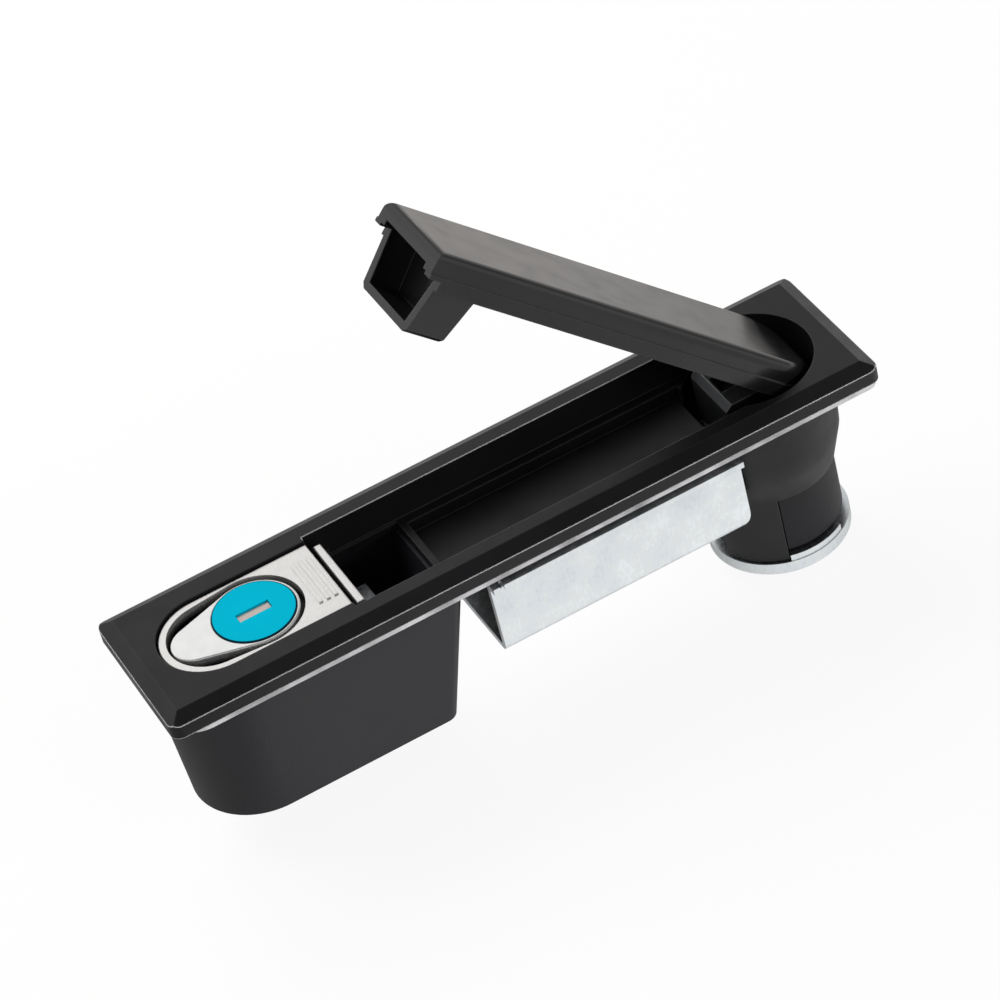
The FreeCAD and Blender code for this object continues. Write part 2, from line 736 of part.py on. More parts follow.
def handle_lever():
    """The hollow die-cast lever: crowned edges, stepped sides, cross ribs and the catch box below."""
    lower = handle_side(handle_half, handle_low)
    lower = lower.common(box(handle_free - 1, 50, -30, 30, -30, handle_top - side_step_depth))
    upper = handle_side(handle_half - side_step, handle_low)
    upper = upper.makeFillet(handle_edge, [e for e in upper.Edges if on_top_rim(e)])
    body = join(lower, upper)
    inner = handle_inner
    hollow = box(catch_back, pivot_x, -inner, inner, -30, handle_roof)
    curl = rod(V(pivot_x, -inner, pivot_z), V(0, 1, 0), 2 * inner, knuckle - handle_top_wall)
    cap_half = handle_half - cap_wall
    mouth = box(handle_free - 1, catch_face, -cap_half, cap_half, -30, handle_top - cap_wall)
    short = box(handle_free - 1, catch_face, -30, 30, -30, handle_top - cap_leg_depth)
    body = body.cut([hollow, curl, mouth, short])
    body = join(body, catch_box(), *cross_ribs())
    bore = rod(V(pivot_x, -20, pivot_z), V(0, 1, 0), 40, pin_radius + fine)
    return lifted(join(body.cut([catch_window(), bore])))


def cross_ribs():
    """Ribs under the lever's roof, evenly spaced between the catch box and the spindle's head."""
    right = -head_back - 2 * rib_thickness
    pitch = (right - catch_back) / (rib_count + 1)
    ribs = []
    for k in range(rib_count):
        x = catch_back + (k + 1) * pitch
        ribs.append(box(x, x + rib_thickness, -handle_inner, handle_inner, handle_roof - rib_height, handle_roof))
    return ribs


def on_top_rim(edge):
    """Is this one of the long edges, or the free end's edge, that bound the handle's top?"""
    b = edge.BoundBox
    if b.ZMin < handle_top - 0.01:
        return False
    return abs(edge.CenterOfMass.y) > 1.0 or b.XMax < handle_free + 0.01


def catch_loop(x0, x1, half, z):
    return Part.makePolygon([V(x0, -half, z), V(x1, -half, z), V(x1, half, z), V(x0, half, z), V(x0, -half, z)])


def catch_box():
    """The tapered box under the handle's free end that the latch enters."""
    shape = Part.makeLoft([
        catch_loop(catch_face, catch_face + catch_length_bottom, catch_width_bottom / 2, catch_bottom),
        catch_loop(catch_face, catch_back, catch_width_top / 2, handle_top - side_step_depth)], True, True)
    low = [e for e in edges_at_height(shape, catch_bottom) if e.BoundBox.XLength > 1]
    return shape.makeChamfer(1.0, low)


def catch_window():
    """The hollow of the catch box, open toward the button."""
    x0, x1 = handle_free - 1, catch_face + catch_length_bottom - catch_wall
    return Part.makeLoft([
        catch_loop(x0, x1, catch_width_bottom / 2 - catch_wall, catch_floor),
        catch_loop(x0, x1, catch_width_top / 2 - catch_wall, handle_top - catch_roof)], True, True)


def hinge_pin():
    offset = pivot_x - (hub_end_reach - handle_half)
    half = math.sqrt((handle_half - side_step) ** 2 - offset ** 2) - seat
    pin = rod(V(pivot_x, -half, pivot_z), V(0, 1, 0), 2 * half, pin_radius)
    return lifted(pin.makeChamfer(0.3, [e for e in pin.Edges if len(e.Vertexes) == 1]))


def popup_spring():
    """The torsion spring on the hinge pin: one leg along the spindle, one under the lever's roof."""
    wire = 0.4
    r = pin_radius + 0.15 + wire
    side = popup_spring_half - wire
    axis = V(0, 1, 0)
    s = math.sqrt(0.5)
    points = helix(V(pivot_x, -side, pivot_z), axis, V(0, 0, 1), r, 2 * side, 3.875, 16)
    rest = V(pivot_x - 8.0, -side, pivot_z + r)
    return wire_along([rest] + points + [points[-1] + V(-s, 0, s) * 6.0], wire, axis)


def push_button():
    """The chromed plate with its skirt, keyhole pocket, front lip and the two wedge legs."""
    shell = round_left(button_x, button_radius, button_end, button_under, button_top)
    shell = shell.makeFillet(button_edge, edges_at_height(shell, button_top))
    hollow = round_left(button_x, button_radius - button_wall, button_end - button_wall, button_under - 1,
                        button_top - button_plate)
    tub = stadium(button_x, pocket_radius + pocket_wall, barrel_x, pocket_radius_front + pocket_wall / 2,
                  pocket_z - pocket_floor, button_top - 1)
    lip_left = button_end + groove_width
    lip_top = button_top - lip_drop
    web = box(button_end - 0.5, lip_left, -lip_half_width, lip_half_width, button_under, lip_top - groove_depth)
    lip = box(lip_left, lip_left + lip_thickness, -lip_half_width, lip_half_width, button_under, lip_top)
    lip = lip.makeFillet(button_edge, edges_at_height(lip, lip_top))
    legs = [button_leg(side) for side in (-1, 1)]
    shape = join(shell.cut(hollow), tub, web, lip, *legs, *grip_ribs())
    well = stadium(button_x, pocket_radius, barrel_x, pocket_radius_front, pocket_z, button_top + 1)
    way = stadium(lobe_x, lobe_body_radius + fine, barrel_x, barrel_body_radius + fine, button_under - 5, button_top)
    return shape.cut([well, way]).removeSplitter()


def grip_ribs():
    """Plain raised ribs between the cylinder's pocket and the button's square end."""
    room = button_end - (barrel_x + pocket_radius_front)
    first = button_end - room / 2 - grip_rib_pitch * (grip_rib_count - 1) / 2
    ribs = []
    for k in range(grip_rib_count):
        x = first + k * grip_rib_pitch
        ribs.append(box(x - grip_rib_width / 2, x + grip_rib_width / 2, -grip_rib_length / 2, grip_rib_length / 2,
                        button_top - 0.6, button_top + grip_rib_height))
    return ribs


def button_leg(side):
    """A leg whose 45 degree foot drives the latch back as the button goes down."""
    foot = latch_top + button_travel + 0.4
    left = barrel_x + leg_from_barrel
    line = ramp_line + latch_gap * math.sqrt(2)
    outline = [(leg_right, button_under + 1), (left, button_under + 1), (left, line - left), (line - foot, foot),
               (leg_right, foot)]
    y0, y1 = sorted((side * latch_arm_inner, side * button_radius))
    return side_plate(outline, y0, y1)


def lock_barrel():
    """The teardrop cylinder housing: a flange in the button's pocket, and a body with pin chambers."""
    flange = stadium(lobe_x, lobe_radius, barrel_x, barrel_radius, pocket_z + fine, barrel_top)
    flange = flange.makeFillet(button_edge, edges_at_height(flange, barrel_top))
    body = stadium(lobe_x, lobe_body_radius, barrel_x, barrel_body_radius, barrel_bottom, pocket_z + 1)
    face = cyl(barrel_x, 0, disc_bottom - fine, barrel_top + 1, disc_face_radius + run)
    bore = cyl(barrel_x, 0, barrel_bottom - 1, barrel_top + 1, plug_radius + run)
    chambers = [rod(V(lobe_x - 8, 0, z), V(1, 0, 0), barrel_x - lobe_x + 8, tumbler_radius + run)
                for z in pin_levels()]
    half, low, high = strip_width / 2 + run, chamber_low() - run, chamber_high() + run
    slot = box(lobe_x - 8, strip_x + strip_thickness + fine, -half, half, low, high)
    groove = clip_ring(clip_sheet, clip_width / 2 + run, 2.0)
    return join(flange, body).cut([face, bore, slot, groove] + chambers).removeSplitter()


def clip_ring(sheet, bite, outward):
    """A ring that follows the cylinder housing's body just under the button's pocket floor."""
    low = clip_top - sheet
    outer = stadium(lobe_x, lobe_body_radius + outward, barrel_x, barrel_body_radius + outward, low, clip_top)
    inner = stadium(lobe_x, lobe_body_radius - bite, barrel_x, barrel_body_radius - bite, low - 1, clip_top + 1)
    return outer.cut(inner)


def barrel_clip():
    """The open spring clip that holds the cylinder housing up in the button."""
    clip = clip_ring(clip_sheet - fine, clip_width / 2, clip_width)
    return clip.cut(box(lobe_x - 8, lobe_x, -strip_width, strip_width, clip_top - 3, clip_top + 1))


def pin_levels():
    return [disc_bottom - pin_from_face - k * pin_pitch for k in range(pin_count)]


def chamber_low():
    return pin_levels()[-1] - tumbler_radius - 1


def chamber_high():
    return pin_levels()[0] + tumbler_radius + 1


def chamber_strip():
    """The thin plate that closes the pin chambers."""
    half = strip_width / 2
    return box(strip_x, strip_x + strip_thickness, -half, half, chamber_low(), chamber_high())


def key_pins():
    """Pins in the plug, of uneven length, with their outer ends on the shear line."""
    out = []
    for k, z in enumerate(pin_levels()):
        length = key_pin_lengths[k % len(key_pin_lengths)]
        out.append(rod(V(barrel_x - plug_radius + run, 0, z), V(1, 0, 0), length, tumbler_radius))
    return Part.Compound(out)


def driver_pins():
    x = barrel_x - plug_radius - 2 * run
    return Part.Compound([rod(V(x, 0, z), V(-1, 0, 0), driver_length, tumbler_radius) for z in pin_levels()])


def pin_springs():
    """Small coils between the driver pins and the strip."""
    start = strip_x + strip_thickness + fine
    length = barrel_x - plug_radius - 2 * run - driver_length - fine - start
    return Part.Compound([
        coil(V(start, 0, z), V(1, 0, 0), V(0, 0, 1), 0.85, 0.2, length, 5, 4, 8) for z in pin_levels()])


def key_plug():
    """The turning plug with its keyway and pin holes."""
    plug = cyl(barrel_x, 0, plug_bottom, disc_bottom - fine, plug_radius)
    x, y, top = slot_length / 2, slot_width / 2, disc_bottom + 1
    spring_seat = shutter_bottom - shutter_spring_length
    blade = box(barrel_x - x, barrel_x + x - 2.4, -y, y, disc_bottom - keyway_depth, top)
    beside = box(barrel_x, barrel_x + x, -y, y, spring_seat, top)
    holes = [rod(V(barrel_x - 2.0, 0, z), V(-1, 0, 0), plug_radius, tumbler_radius + run) for z in pin_levels()]
    tail = cyl(barrel_x, 0, cam_bottom - fine, plug_bottom, tail_radius)
    tapped = cyl(barrel_x, 0, cam_bottom - 1, plug_bottom + 4.0, cam_screw_radius + run)
    return join(join(plug, tail).cut([blade, beside, tapped] + holes))


def plug_face():
    """The coloured disc on the plug, with the key slot through it."""
    disc = cyl(barrel_x, 0, disc_bottom, disc_top, disc_face_radius)
    disc = disc.makeFillet(0.25, edges_at_height(disc, disc_top))
    x, y = slot_length / 2, slot_width / 2
    return disc.cut(box(barrel_x - x, barrel_x + x, -y, y, disc_bottom - 1, disc_top + 1))


def slot_shutter():
    """The sprung dust shutter that fills the key slot from below."""
    x, y = slot_length / 2 - 0.1, slot_width / 2 - 0.1
    return box(barrel_x - x, barrel_x + x, -y, y, shutter_bottom, shutter_top)


def shutter_spring():
    return coil(V(barrel_x + slot_length / 2 - 1.2, 0, shutter_bottom - shutter_spring_length + fine), V(0, 0, 1),
                V(1, 0, 0), 0.75, 0.2, shutter_spring_length - 2 * fine, 6, 4, 8)


def plug_cam():
    """The cam on the plug's tail: clear of the stop post when open, over it when locked."""
    tip, half = cam_reach - cam_width / 2, cam_width / 2
    hub = cyl(barrel_x, 0, cam_bottom, cam_top, tail_radius + 2.0)
    arm = box(barrel_x, barrel_x + tip, -half, half, cam_bottom, cam_top)
    end = cyl(barrel_x + tip, 0, cam_bottom, cam_top, half)
    return join(hub, arm, end).cut(cyl(barrel_x, 0, cam_bottom - 1, cam_top + 1, tail_radius + run))


def cam_screw():
    z = cam_bottom - 2 * fine
    head = cyl(barrel_x, 0, z - 1.6, z, cam_screw_head)
    shank = cyl(barrel_x, 0, z, plug_bottom + 3.5, cam_screw_radius)
    return join(head, shank).cut(cross_slot(barrel_x, 0, 2.0, 0.35, z - 3, z - 0.9))


def latch_slide():
    """The sheet latch: a nose for the catch box, two arms round the cylinder, ramps and a spring lug."""
    z0, z1 = latch_bottom, latch_top
    nose = box(latch_cross[0], latch_tip, -latch_half, latch_half, z0, z1)
    nose = nose.cut(side_plate([(latch_tip - 0.8, z0), (latch_tip + 0.1, z0), (latch_tip + 0.1, z1 - 0.3)], -20, 20))
    parts = [box(latch_cross[0], latch_cross[1], -latch_arm_outer, latch_arm_outer, z0, z1)]
    top = z1 + ramp_height
    outline = [(ramp_left, z0), (ramp_left, top), (ramp_line - top, top), (ramp_line - z1, z1), (ramp_line - z1, z0)]
    for side in (-1, 1):
        y0, y1 = sorted((side * latch_arm_inner, side * latch_arm_outer))
        parts.append(box(latch_arm_end, latch_cross[1], y0, y1, z0, z1))
        y0, y1 = sorted((side * latch_arm_inner, side * (latch_arm_inner + ramp_width)))
        parts.append(side_plate(outline, y0, y1))
    lug_x = spring_post_x + latch_spring_room
    parts.append(box(lug_x, lug_x + latch_sheet, -3.0, 3.0, z0 - lug_reach, z0 + latch_sheet / 2))
    shape = join(nose, *parts)
    reach = barrel_body_radius + 2 * seat
    way = stadium(barrel_x, reach, barrel_x + button_travel, reach + fine, z0 - 1, z1 + 1)
    return shape.cut(way).removeSplitter()


def latch_spring():
    return coil(V(spring_post_x + fine, 0, latch_bottom - lug_reach / 2), V(1, 0, 0), V(0, 0, 1), 1.7, 0.3,
                latch_spring_room - 2 * fine, 6)


def button_spring():
    bottom, top = box_floor + fine, barrel_bottom - fine
    return coil(V(lobe_x, 0, bottom), V(0, 0, 1), V(1, 0, 0), button_spring_radius, 0.4, top - bottom, 6)


NODES = [
    base_housing, panel_gasket, lock_box, box_screws, clamp_bracket, clamp_screws, clamp_washers,
    stop_sleeve, thrust_washer, spindle_seal, spindle, limiter_cup, spindle_circlip, handle_lever,
    hinge_pin, popup_spring, push_button, lock_barrel, barrel_clip, chamber_strip, key_pins, driver_pins,
    pin_springs, key_plug, plug_face, slot_shutter, shutter_spring, plug_cam, cam_screw, latch_slide,
    latch_spring, button_spring,
]


def main():
    os.makedirs("parts", exist_ok=True)
    for make in NODES:
        make().exportStep("parts/" + make.__name__ + ".step")


if __name__ == "__main__":
    main()
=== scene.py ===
import json
import math

import bmesh
import bpy
from bpy.props import FloatProperty, FloatVectorProperty, IntProperty, PointerProperty
from mathutils import Matrix, Vector

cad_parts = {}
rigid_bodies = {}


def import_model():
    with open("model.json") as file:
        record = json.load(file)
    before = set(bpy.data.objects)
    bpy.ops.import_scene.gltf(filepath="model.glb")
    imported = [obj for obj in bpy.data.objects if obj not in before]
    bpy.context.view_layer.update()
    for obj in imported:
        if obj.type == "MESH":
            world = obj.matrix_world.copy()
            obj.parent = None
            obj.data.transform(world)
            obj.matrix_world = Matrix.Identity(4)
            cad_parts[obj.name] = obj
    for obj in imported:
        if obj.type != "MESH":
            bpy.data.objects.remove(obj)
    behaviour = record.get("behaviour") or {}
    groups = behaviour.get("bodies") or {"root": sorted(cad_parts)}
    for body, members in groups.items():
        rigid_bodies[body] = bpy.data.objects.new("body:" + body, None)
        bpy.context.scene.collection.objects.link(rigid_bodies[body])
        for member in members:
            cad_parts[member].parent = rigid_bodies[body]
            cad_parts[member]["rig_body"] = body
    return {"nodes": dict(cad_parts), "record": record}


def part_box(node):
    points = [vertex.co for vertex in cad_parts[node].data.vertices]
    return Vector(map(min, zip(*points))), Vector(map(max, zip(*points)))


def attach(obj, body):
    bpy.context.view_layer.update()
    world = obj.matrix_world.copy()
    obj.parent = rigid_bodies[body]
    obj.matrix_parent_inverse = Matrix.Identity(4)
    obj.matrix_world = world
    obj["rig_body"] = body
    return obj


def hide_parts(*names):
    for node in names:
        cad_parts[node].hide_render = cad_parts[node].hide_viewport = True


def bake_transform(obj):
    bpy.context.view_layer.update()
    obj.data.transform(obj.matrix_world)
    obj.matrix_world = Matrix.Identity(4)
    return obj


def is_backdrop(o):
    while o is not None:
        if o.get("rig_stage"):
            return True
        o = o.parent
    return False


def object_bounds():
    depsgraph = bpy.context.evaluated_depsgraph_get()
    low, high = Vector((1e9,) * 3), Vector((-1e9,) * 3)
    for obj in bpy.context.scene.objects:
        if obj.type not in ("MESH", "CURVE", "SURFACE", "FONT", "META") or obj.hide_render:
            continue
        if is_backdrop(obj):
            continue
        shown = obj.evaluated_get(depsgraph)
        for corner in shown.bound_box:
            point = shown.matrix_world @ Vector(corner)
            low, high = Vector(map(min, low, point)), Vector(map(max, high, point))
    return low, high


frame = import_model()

bl_info = {
    "name": "Flush swing handle lock",
    "version": (1, 0, 0),
    "blender": (4, 5, 0),
    "location": "3D View > Sidebar > Swing lock",
    "description": "Finishes, wound springs and the thread of a flush swing handle lock",
    "category": "Object",
}

LIBRARY = frame["nodes"]
RECORD = frame["record"]
MOUNT = {mount["name"]: mount for mount in RECORD["mounts"]}

# Corners lightened by wear and painted highlight, and the bright metallic colour of the painted highlight lines on
# rims
WORN_AND_HIGHLIT = (0.10, 0.10, 0.105)
WORN_AND_HIGHLIT_LEVER = (0.10, 0.10, 0.10)
PAINTED_HIGHLIGHT = (0.85, 0.85, 0.86)
# Colour of the painted highlight on the lock box's rim
PAINTED_RIM_HIGHLIGHT = (0.45, 0.45, 0.46)
WIRE = (0.5, 0.5, 0.51)
GROUND = (0.62, 0.62, 0.63)

# How far below the bezel's top the rims with painted highlight lines start and end
BEVEL_RIM = (0.0024, 0.0013)
FOOT_RIM = (0.0052, 0.0044)
RECESS_RIM = (0.0004, -0.0001)
# The stretch of the recess's far edge with a painted highlight line: inwards from the bezel's side, and along the
# bezel
RECESS_RIM_INSET = (0.0075, 0.0055)
RECESS_RIM_ALONG = (-0.142, -0.0135)
# The painted highlight on the lock box's rim: its height, and where it starts and ends to fade out
BOX_RIM_HIGHLIGHT = (-0.0008, -0.112, -0.096)

# Depth of the pit round the cylinder, below the button's top, over which painted shade darkens the plating
SHADED_PIT_DEPTH = 0.0033
GASKET_CORNER = 0.0085

# Each wound spring with its wire's radius, the bodies that it crosses and the axis it lies on
WOUND = (("button_spring", 0.0004, ("base", "button"), 2), ("latch_spring", 0.0003, ("base", "latch"), 0),
         ("shutter_spring", 0.0002, ("plug", "shutter"), 2), ("pin_springs", 0.0002, None, 0))
WOUND_TURNS = 5.0

# The lever's spring: radius of its wire, room round the pin, turns, and the lengths of its two legs
POPUP_WIRE, POPUP_ROOM, POPUP_TURNS = 0.0004, 0.00015, 3.875
POPUP_LEGS = (0.008, 0.006)

# Ridge of the thread as a share of its pitch, and its facets
RIDGE, RIDGE_SIDES = 0.28, 6

FLOOR_REACH = 3.0
SENSOR = 36.0
CAMERA_PLACE = (-0.27161, -0.66291, 0.59860)
CAMERA_TURN = (48.373, 11.579, -27.732)


def colour_property(name, description, default):
    return FloatVectorProperty(name=name, description=description, default=default, size=3, min=0.0, max=1.0,
                               subtype="COLOR")


class LockColours(bpy.types.PropertyGroup):
    housing: colour_property("Housing coat", "Satin black coat of the bezel and hub", (0.0075, 0.0073, 0.0082))
    lever: colour_property("Lever coat", "Smoother black coat of the lever", (0.0085, 0.0082, 0.0084))
    tub: colour_property("Lock box", "Moulded black of the lock box", (0.0115, 0.0112, 0.0145))
    sleeve: colour_property("Sleeve", "Moulded black of the hub's sleeve", (0.012, 0.0117, 0.0138))
    rubber: colour_property("Rubber", "Washer and spindle seal", (0.012, 0.012, 0.012))
    # Painted highlight: the gasket's pale grey stands in for the light that it catches from the white floor below
    gasket: colour_property("Gasket", "Pale grey rubber under the bezel", (0.48, 0.47, 0.48))
    zinc: colour_property("Zinc plate", "Blue-white plating of the bracket and the dish", (0.86, 0.915, 0.945))
    chrome: colour_property("Chrome", "Plating of the cylinder's housing", (0.84, 0.84, 0.83))
    plate: colour_property("Button plate", "Satin plating of the push button", (0.80, 0.785, 0.77))
    disc: colour_property("Disc", "Enamel of the disc on the plug", (0.0, 0.43, 0.60))
    shutter: colour_property("Shutter", "Warm steel of the shutter in the key slot", (0.78, 0.66, 0.60))
    brass: colour_property("Brass", "Plug and its pins", (0.72, 0.50, 0.22))
    # Painted shade: the casting's colour is kept dark to stand in for the shade of the recess that the spindle sits in
    casting: colour_property("Bare casting", "Grey metal of the spindle", (0.06, 0.062, 0.066))
    blacked: colour_property("Blackened steel", "Small screws and the circlip", (0.10, 0.10, 0.105))


class LockSurfaces(bpy.types.PropertyGroup):
    softness: FloatProperty(name="Edge softness", description="Radius that the light sees on cast edges",
                            default=0.00035, min=0.0, max=0.002, unit="LENGTH")
    sharpness: FloatProperty(name="Plated edges", description="Radius that the light sees on plated edges",
                             default=0.00018, min=0.0, max=0.001, unit="LENGTH")
    peel: FloatProperty(name="Coat texture", description="Size of the coat's fine waviness", default=0.0009,
                        min=0.0001, max=0.01, unit="LENGTH")
    grain: FloatProperty(name="Moulded grain", description="Size of the lock box's grain", default=0.00042,
                         min=0.0001, max=0.01, unit="LENGTH")
    spangle: FloatProperty(name="Zinc mottling", description="Size of the plating's clouds", default=0.0008,
                           min=0.0005, max=0.05, unit="LENGTH")
    crease: FloatProperty(name="Crease angle", description="Faces that meet more sharply keep their edge",
                          default=math.radians(28), min=0.0, max=math.pi, subtype="ANGLE")


class LockWire(bpy.types.PropertyGroup):
    steps: IntProperty(name="Steps in a turn", description="Points in one turn of a spring", default=28,
                       min=8, max=96)
    sides: IntProperty(name="Sides of the wire", description="Facets round the wire", default=10, min=4, max=32)
    pitch: FloatProperty(name="Thread pitch", description="Pitch of the thread in the spindle's foot",
                         default=0.001, min=0.0003, max=0.004, unit="LENGTH")


class LockStage(bpy.types.PropertyGroup):
    floor: colour_property("Floor", "Pale floor under the lock", (0.9, 0.9, 0.9))
    lens: FloatProperty(name="Lens", description="Focal length on a 36 mm sensor", default=156.03, min=20.0,
                        max=400.0, unit="CAMERA")
    key: FloatProperty(name="Key light", description="Power of the large light behind the lock", default=9.0,
                       min=0.0, max=200.0, unit="POWER")
    fill: FloatProperty(name="Fill light", description="Power of the light beside the camera", default=5.0,
                        min=0.0, max=200.0, unit="POWER")
    daylight: FloatProperty(name="Daylight", description="Strength of the even light from all round", default=0.32,
                            min=0.0, max=5.0)


def put(tree, kind, inputs=None, **settings):
    """Adds a node. An input is a number, a colour or another node's output."""
    node = tree.nodes.new(kind)
    for name, value in settings.items():
        setattr(node, name, value)
    for name, value in (inputs or {}).items():
        if isinstance(value, bpy.types.NodeSocket):
            tree.links.new(value, node.inputs[name])
        else:
            node.inputs[name].default_value = value
    return node


def begin_finish(name, softness):
    """A new material with its shader, the object's own coordinates and a normal with softened edges."""
    made = bpy.data.materials.new(name)
    made.use_nodes = True
    tree = made.node_tree
    shader = tree.nodes["Principled BSDF"]
    place = put(tree, "ShaderNodeTexCoord").outputs["Object"]
    edge = put(tree, "ShaderNodeBevel", {"Radius": softness}, samples=4).outputs["Normal"]
    return made, tree, shader, place, edge


def clouds(tree, place, size, detail=2.0, stretch=(1.0, 1.0, 1.0)):
    """Noise with features of a size in metres, drawn out along an axis by a stretch above one."""
    scaled = put(tree, "ShaderNodeMapping", {"Vector": place, "Scale": tuple(1 / s for s in stretch)})
    noise = put(tree, "ShaderNodeTexNoise", {"Vector": scaled.outputs["Vector"], "Scale": 1 / size,
                                             "Detail": detail})
    return noise.outputs["Fac"]


def spread(tree, value, low, high, start, end):
    """Takes a value from the span low to high over to the span start to end."""
    return put(tree, "ShaderNodeMapRange", {"Value": value, "From Min": low, "From Max": high, "To Min": start,
                                            "To Max": end}).outputs["Result"]


def graded(tree, value, stops):
    """A colour ramp over (place, colour) stops."""
    ramp = put(tree, "ShaderNodeValToRGB", {"Fac": value})
    elements = ramp.color_ramp.elements
    elements[0].position, elements[0].color = stops[0][0], (*stops[0][1], 1)
    elements[1].position, elements[1].color = stops[-1][0], (*stops[-1][1], 1)
    for place, colour in stops[1:-1]:
        elements.new(place).color = (*colour, 1)
    return ramp.outputs["Color"]


def raised(tree, height, strength, distance, normal):
    return put(tree, "ShaderNodeBump", {"Strength": strength, "Distance": distance, "Height": height,
                                        "Normal": normal}).outputs["Normal"]


def edge_share(tree, edge, start, end):
    """Nought on flats and up to one where the softened normal leaves the true one, on corners and rims."""
    true = put(tree, "ShaderNodeNewGeometry").outputs["Normal"]
    lean = put(tree, "ShaderNodeVectorMath", {0: edge, 1: true}, operation="DOT_PRODUCT").outputs["Value"]
    return spread(tree, lean, start, end, 0.0, 1.0)


def times(tree, first, second):
    return put(tree, "ShaderNodeMath", {0: first, 1: second}, operation="MULTIPLY").outputs["Value"]


def blended(tree, share, first, second):
    """A mix of two colours, either of them a colour or a node's output."""
    ends = [c if isinstance(c, bpy.types.NodeSocket) else (*c, 1) for c in (first, second)]
    return put(tree, "ShaderNodeMix", {0: share, 6: ends[0], 7: ends[1]}, data_type="RGBA").outputs[2]


def worn_and_highlit_edges(tree, edge, colour, worn_and_highlit, amount):
    """Lightens a colour on corners and rims, partly as wear and partly as a painted highlight."""
    return blended(tree, times(tree, edge_share(tree, edge, 0.995, 0.88), amount), colour, worn_and_highlit)


def inside(tree, place, spans):
    """One in a box given as (axis, low, high) spans in metres, and nought outside it."""
    parts = put(tree, "ShaderNodeSeparateXYZ", {0: place}).outputs
    share = None
    for axis, low, high in spans:
        here = put(tree, "ShaderNodeMath", {0: parts[axis], 1: (low + high) / 2, 2: (high - low) / 2},
                   operation="COMPARE").outputs["Value"]
        share = here if share is None else times(tree, share, here)
    return share


def shade(colour, factor):
    return tuple(min(1.0, c * factor) for c in colour)


def coat_finish(name, colour, softness, peel, gloss, worn_and_highlit, level, highlit=()):
    """Satin black coat on a die-casting: faint waviness, cloudy gloss, rims paler from wear and painted highlight.
    Along the rims inside the boxes of the last argument, a painted highlight shows as a bright metallic line."""
    made, tree, shader, place, edge = begin_finish(name, softness)
    shader.inputs["Specular IOR Level"].default_value = level
    wide = clouds(tree, place, 0.018, 3.0)
    tint = graded(tree, wide, [(0.3, shade(colour, 0.8)), (0.7, shade(colour, 1.25))])
    # Corners and rims lighter: wear and painted highlight
    tint = worn_and_highlit_edges(tree, edge, tint, worn_and_highlit, 0.45)
    gloss_here = spread(tree, clouds(tree, place, 0.006, 2.0), 0.3, 0.7, gloss - 0.05, gloss + 0.06)
    # Painted highlight: a bright metallic line along the rims inside the given boxes
    if highlit:
        rim = edge_share(tree, edge, 0.996, 0.97)
        where = None
        for spans in highlit:
            here = inside(tree, place, spans)
            where = here if where is None else put(tree, "ShaderNodeMath", {0: where, 1: here},
                                                   operation="MAXIMUM").outputs["Value"]
        line = times(tree, rim, where)
        tint = blended(tree, line, tint, PAINTED_HIGHLIGHT)
        tree.links.new(times(tree, line, 0.35), shader.inputs["Metallic"])
        gloss_here = put(tree, "ShaderNodeMix", {0: line, 2: gloss_here, 3: 0.3}).outputs[0]
    tree.links.new(tint, shader.inputs["Base Color"])
    tree.links.new(gloss_here, shader.inputs["Roughness"])
    fine = clouds(tree, place, peel, 3.0)
    tree.links.new(raised(tree, fine, 0.12, 0.00006, edge), shader.inputs["Normal"])
    return made


def moulded_finish(name, colour, softness, grain, gloss, level, rim=None):
    """Matte moulded polymer with a fine eroded grain. A painted highlight makes its rim paler above a height, fading
    out along +X.
    """
    made, tree, shader, place, edge = begin_finish(name, softness)
    shader.inputs["Specular IOR Level"].default_value = level
    pits = put(tree, "ShaderNodeTexVoronoi", {"Vector": place, "Scale": 1 / grain}, feature="SMOOTH_F1")
    broad = clouds(tree, place, 0.02, 3.0)
    tint = graded(tree, broad, [(0.3, shade(colour, 0.82)), (0.72, shade(colour, 1.3))])
    # Corners and rims lighter: wear and painted highlight
    tint = worn_and_highlit_edges(tree, edge, tint, shade(colour, 3.5), 0.5)
    # Painted highlight: the rim is paler above a height, fading out along +X
    if rim:
        height, start, end = rim
        parts = put(tree, "ShaderNodeSeparateXYZ", {0: place}).outputs
        pale = times(tree, spread(tree, parts["Z"], height - 0.0001, height + 0.0001, 0.0, 1.0),
                     spread(tree, parts["X"], start, end, 1.0, 0.0))
        tint = blended(tree, pale, tint, PAINTED_RIM_HIGHLIGHT)
    tree.links.new(tint, shader.inputs["Base Color"])
    tree.links.new(spread(tree, broad, 0.3, 0.7, gloss - 0.05, gloss + 0.05), shader.inputs["Roughness"])
    grained = raised(tree, pits.outputs["Distance"], 0.35, grain * 0.2, edge)
    soft = raised(tree, clouds(tree, place, grain * 5, 2.0), 0.2, grain * 0.3, grained)
    tree.links.new(soft, shader.inputs["Normal"])
    return made


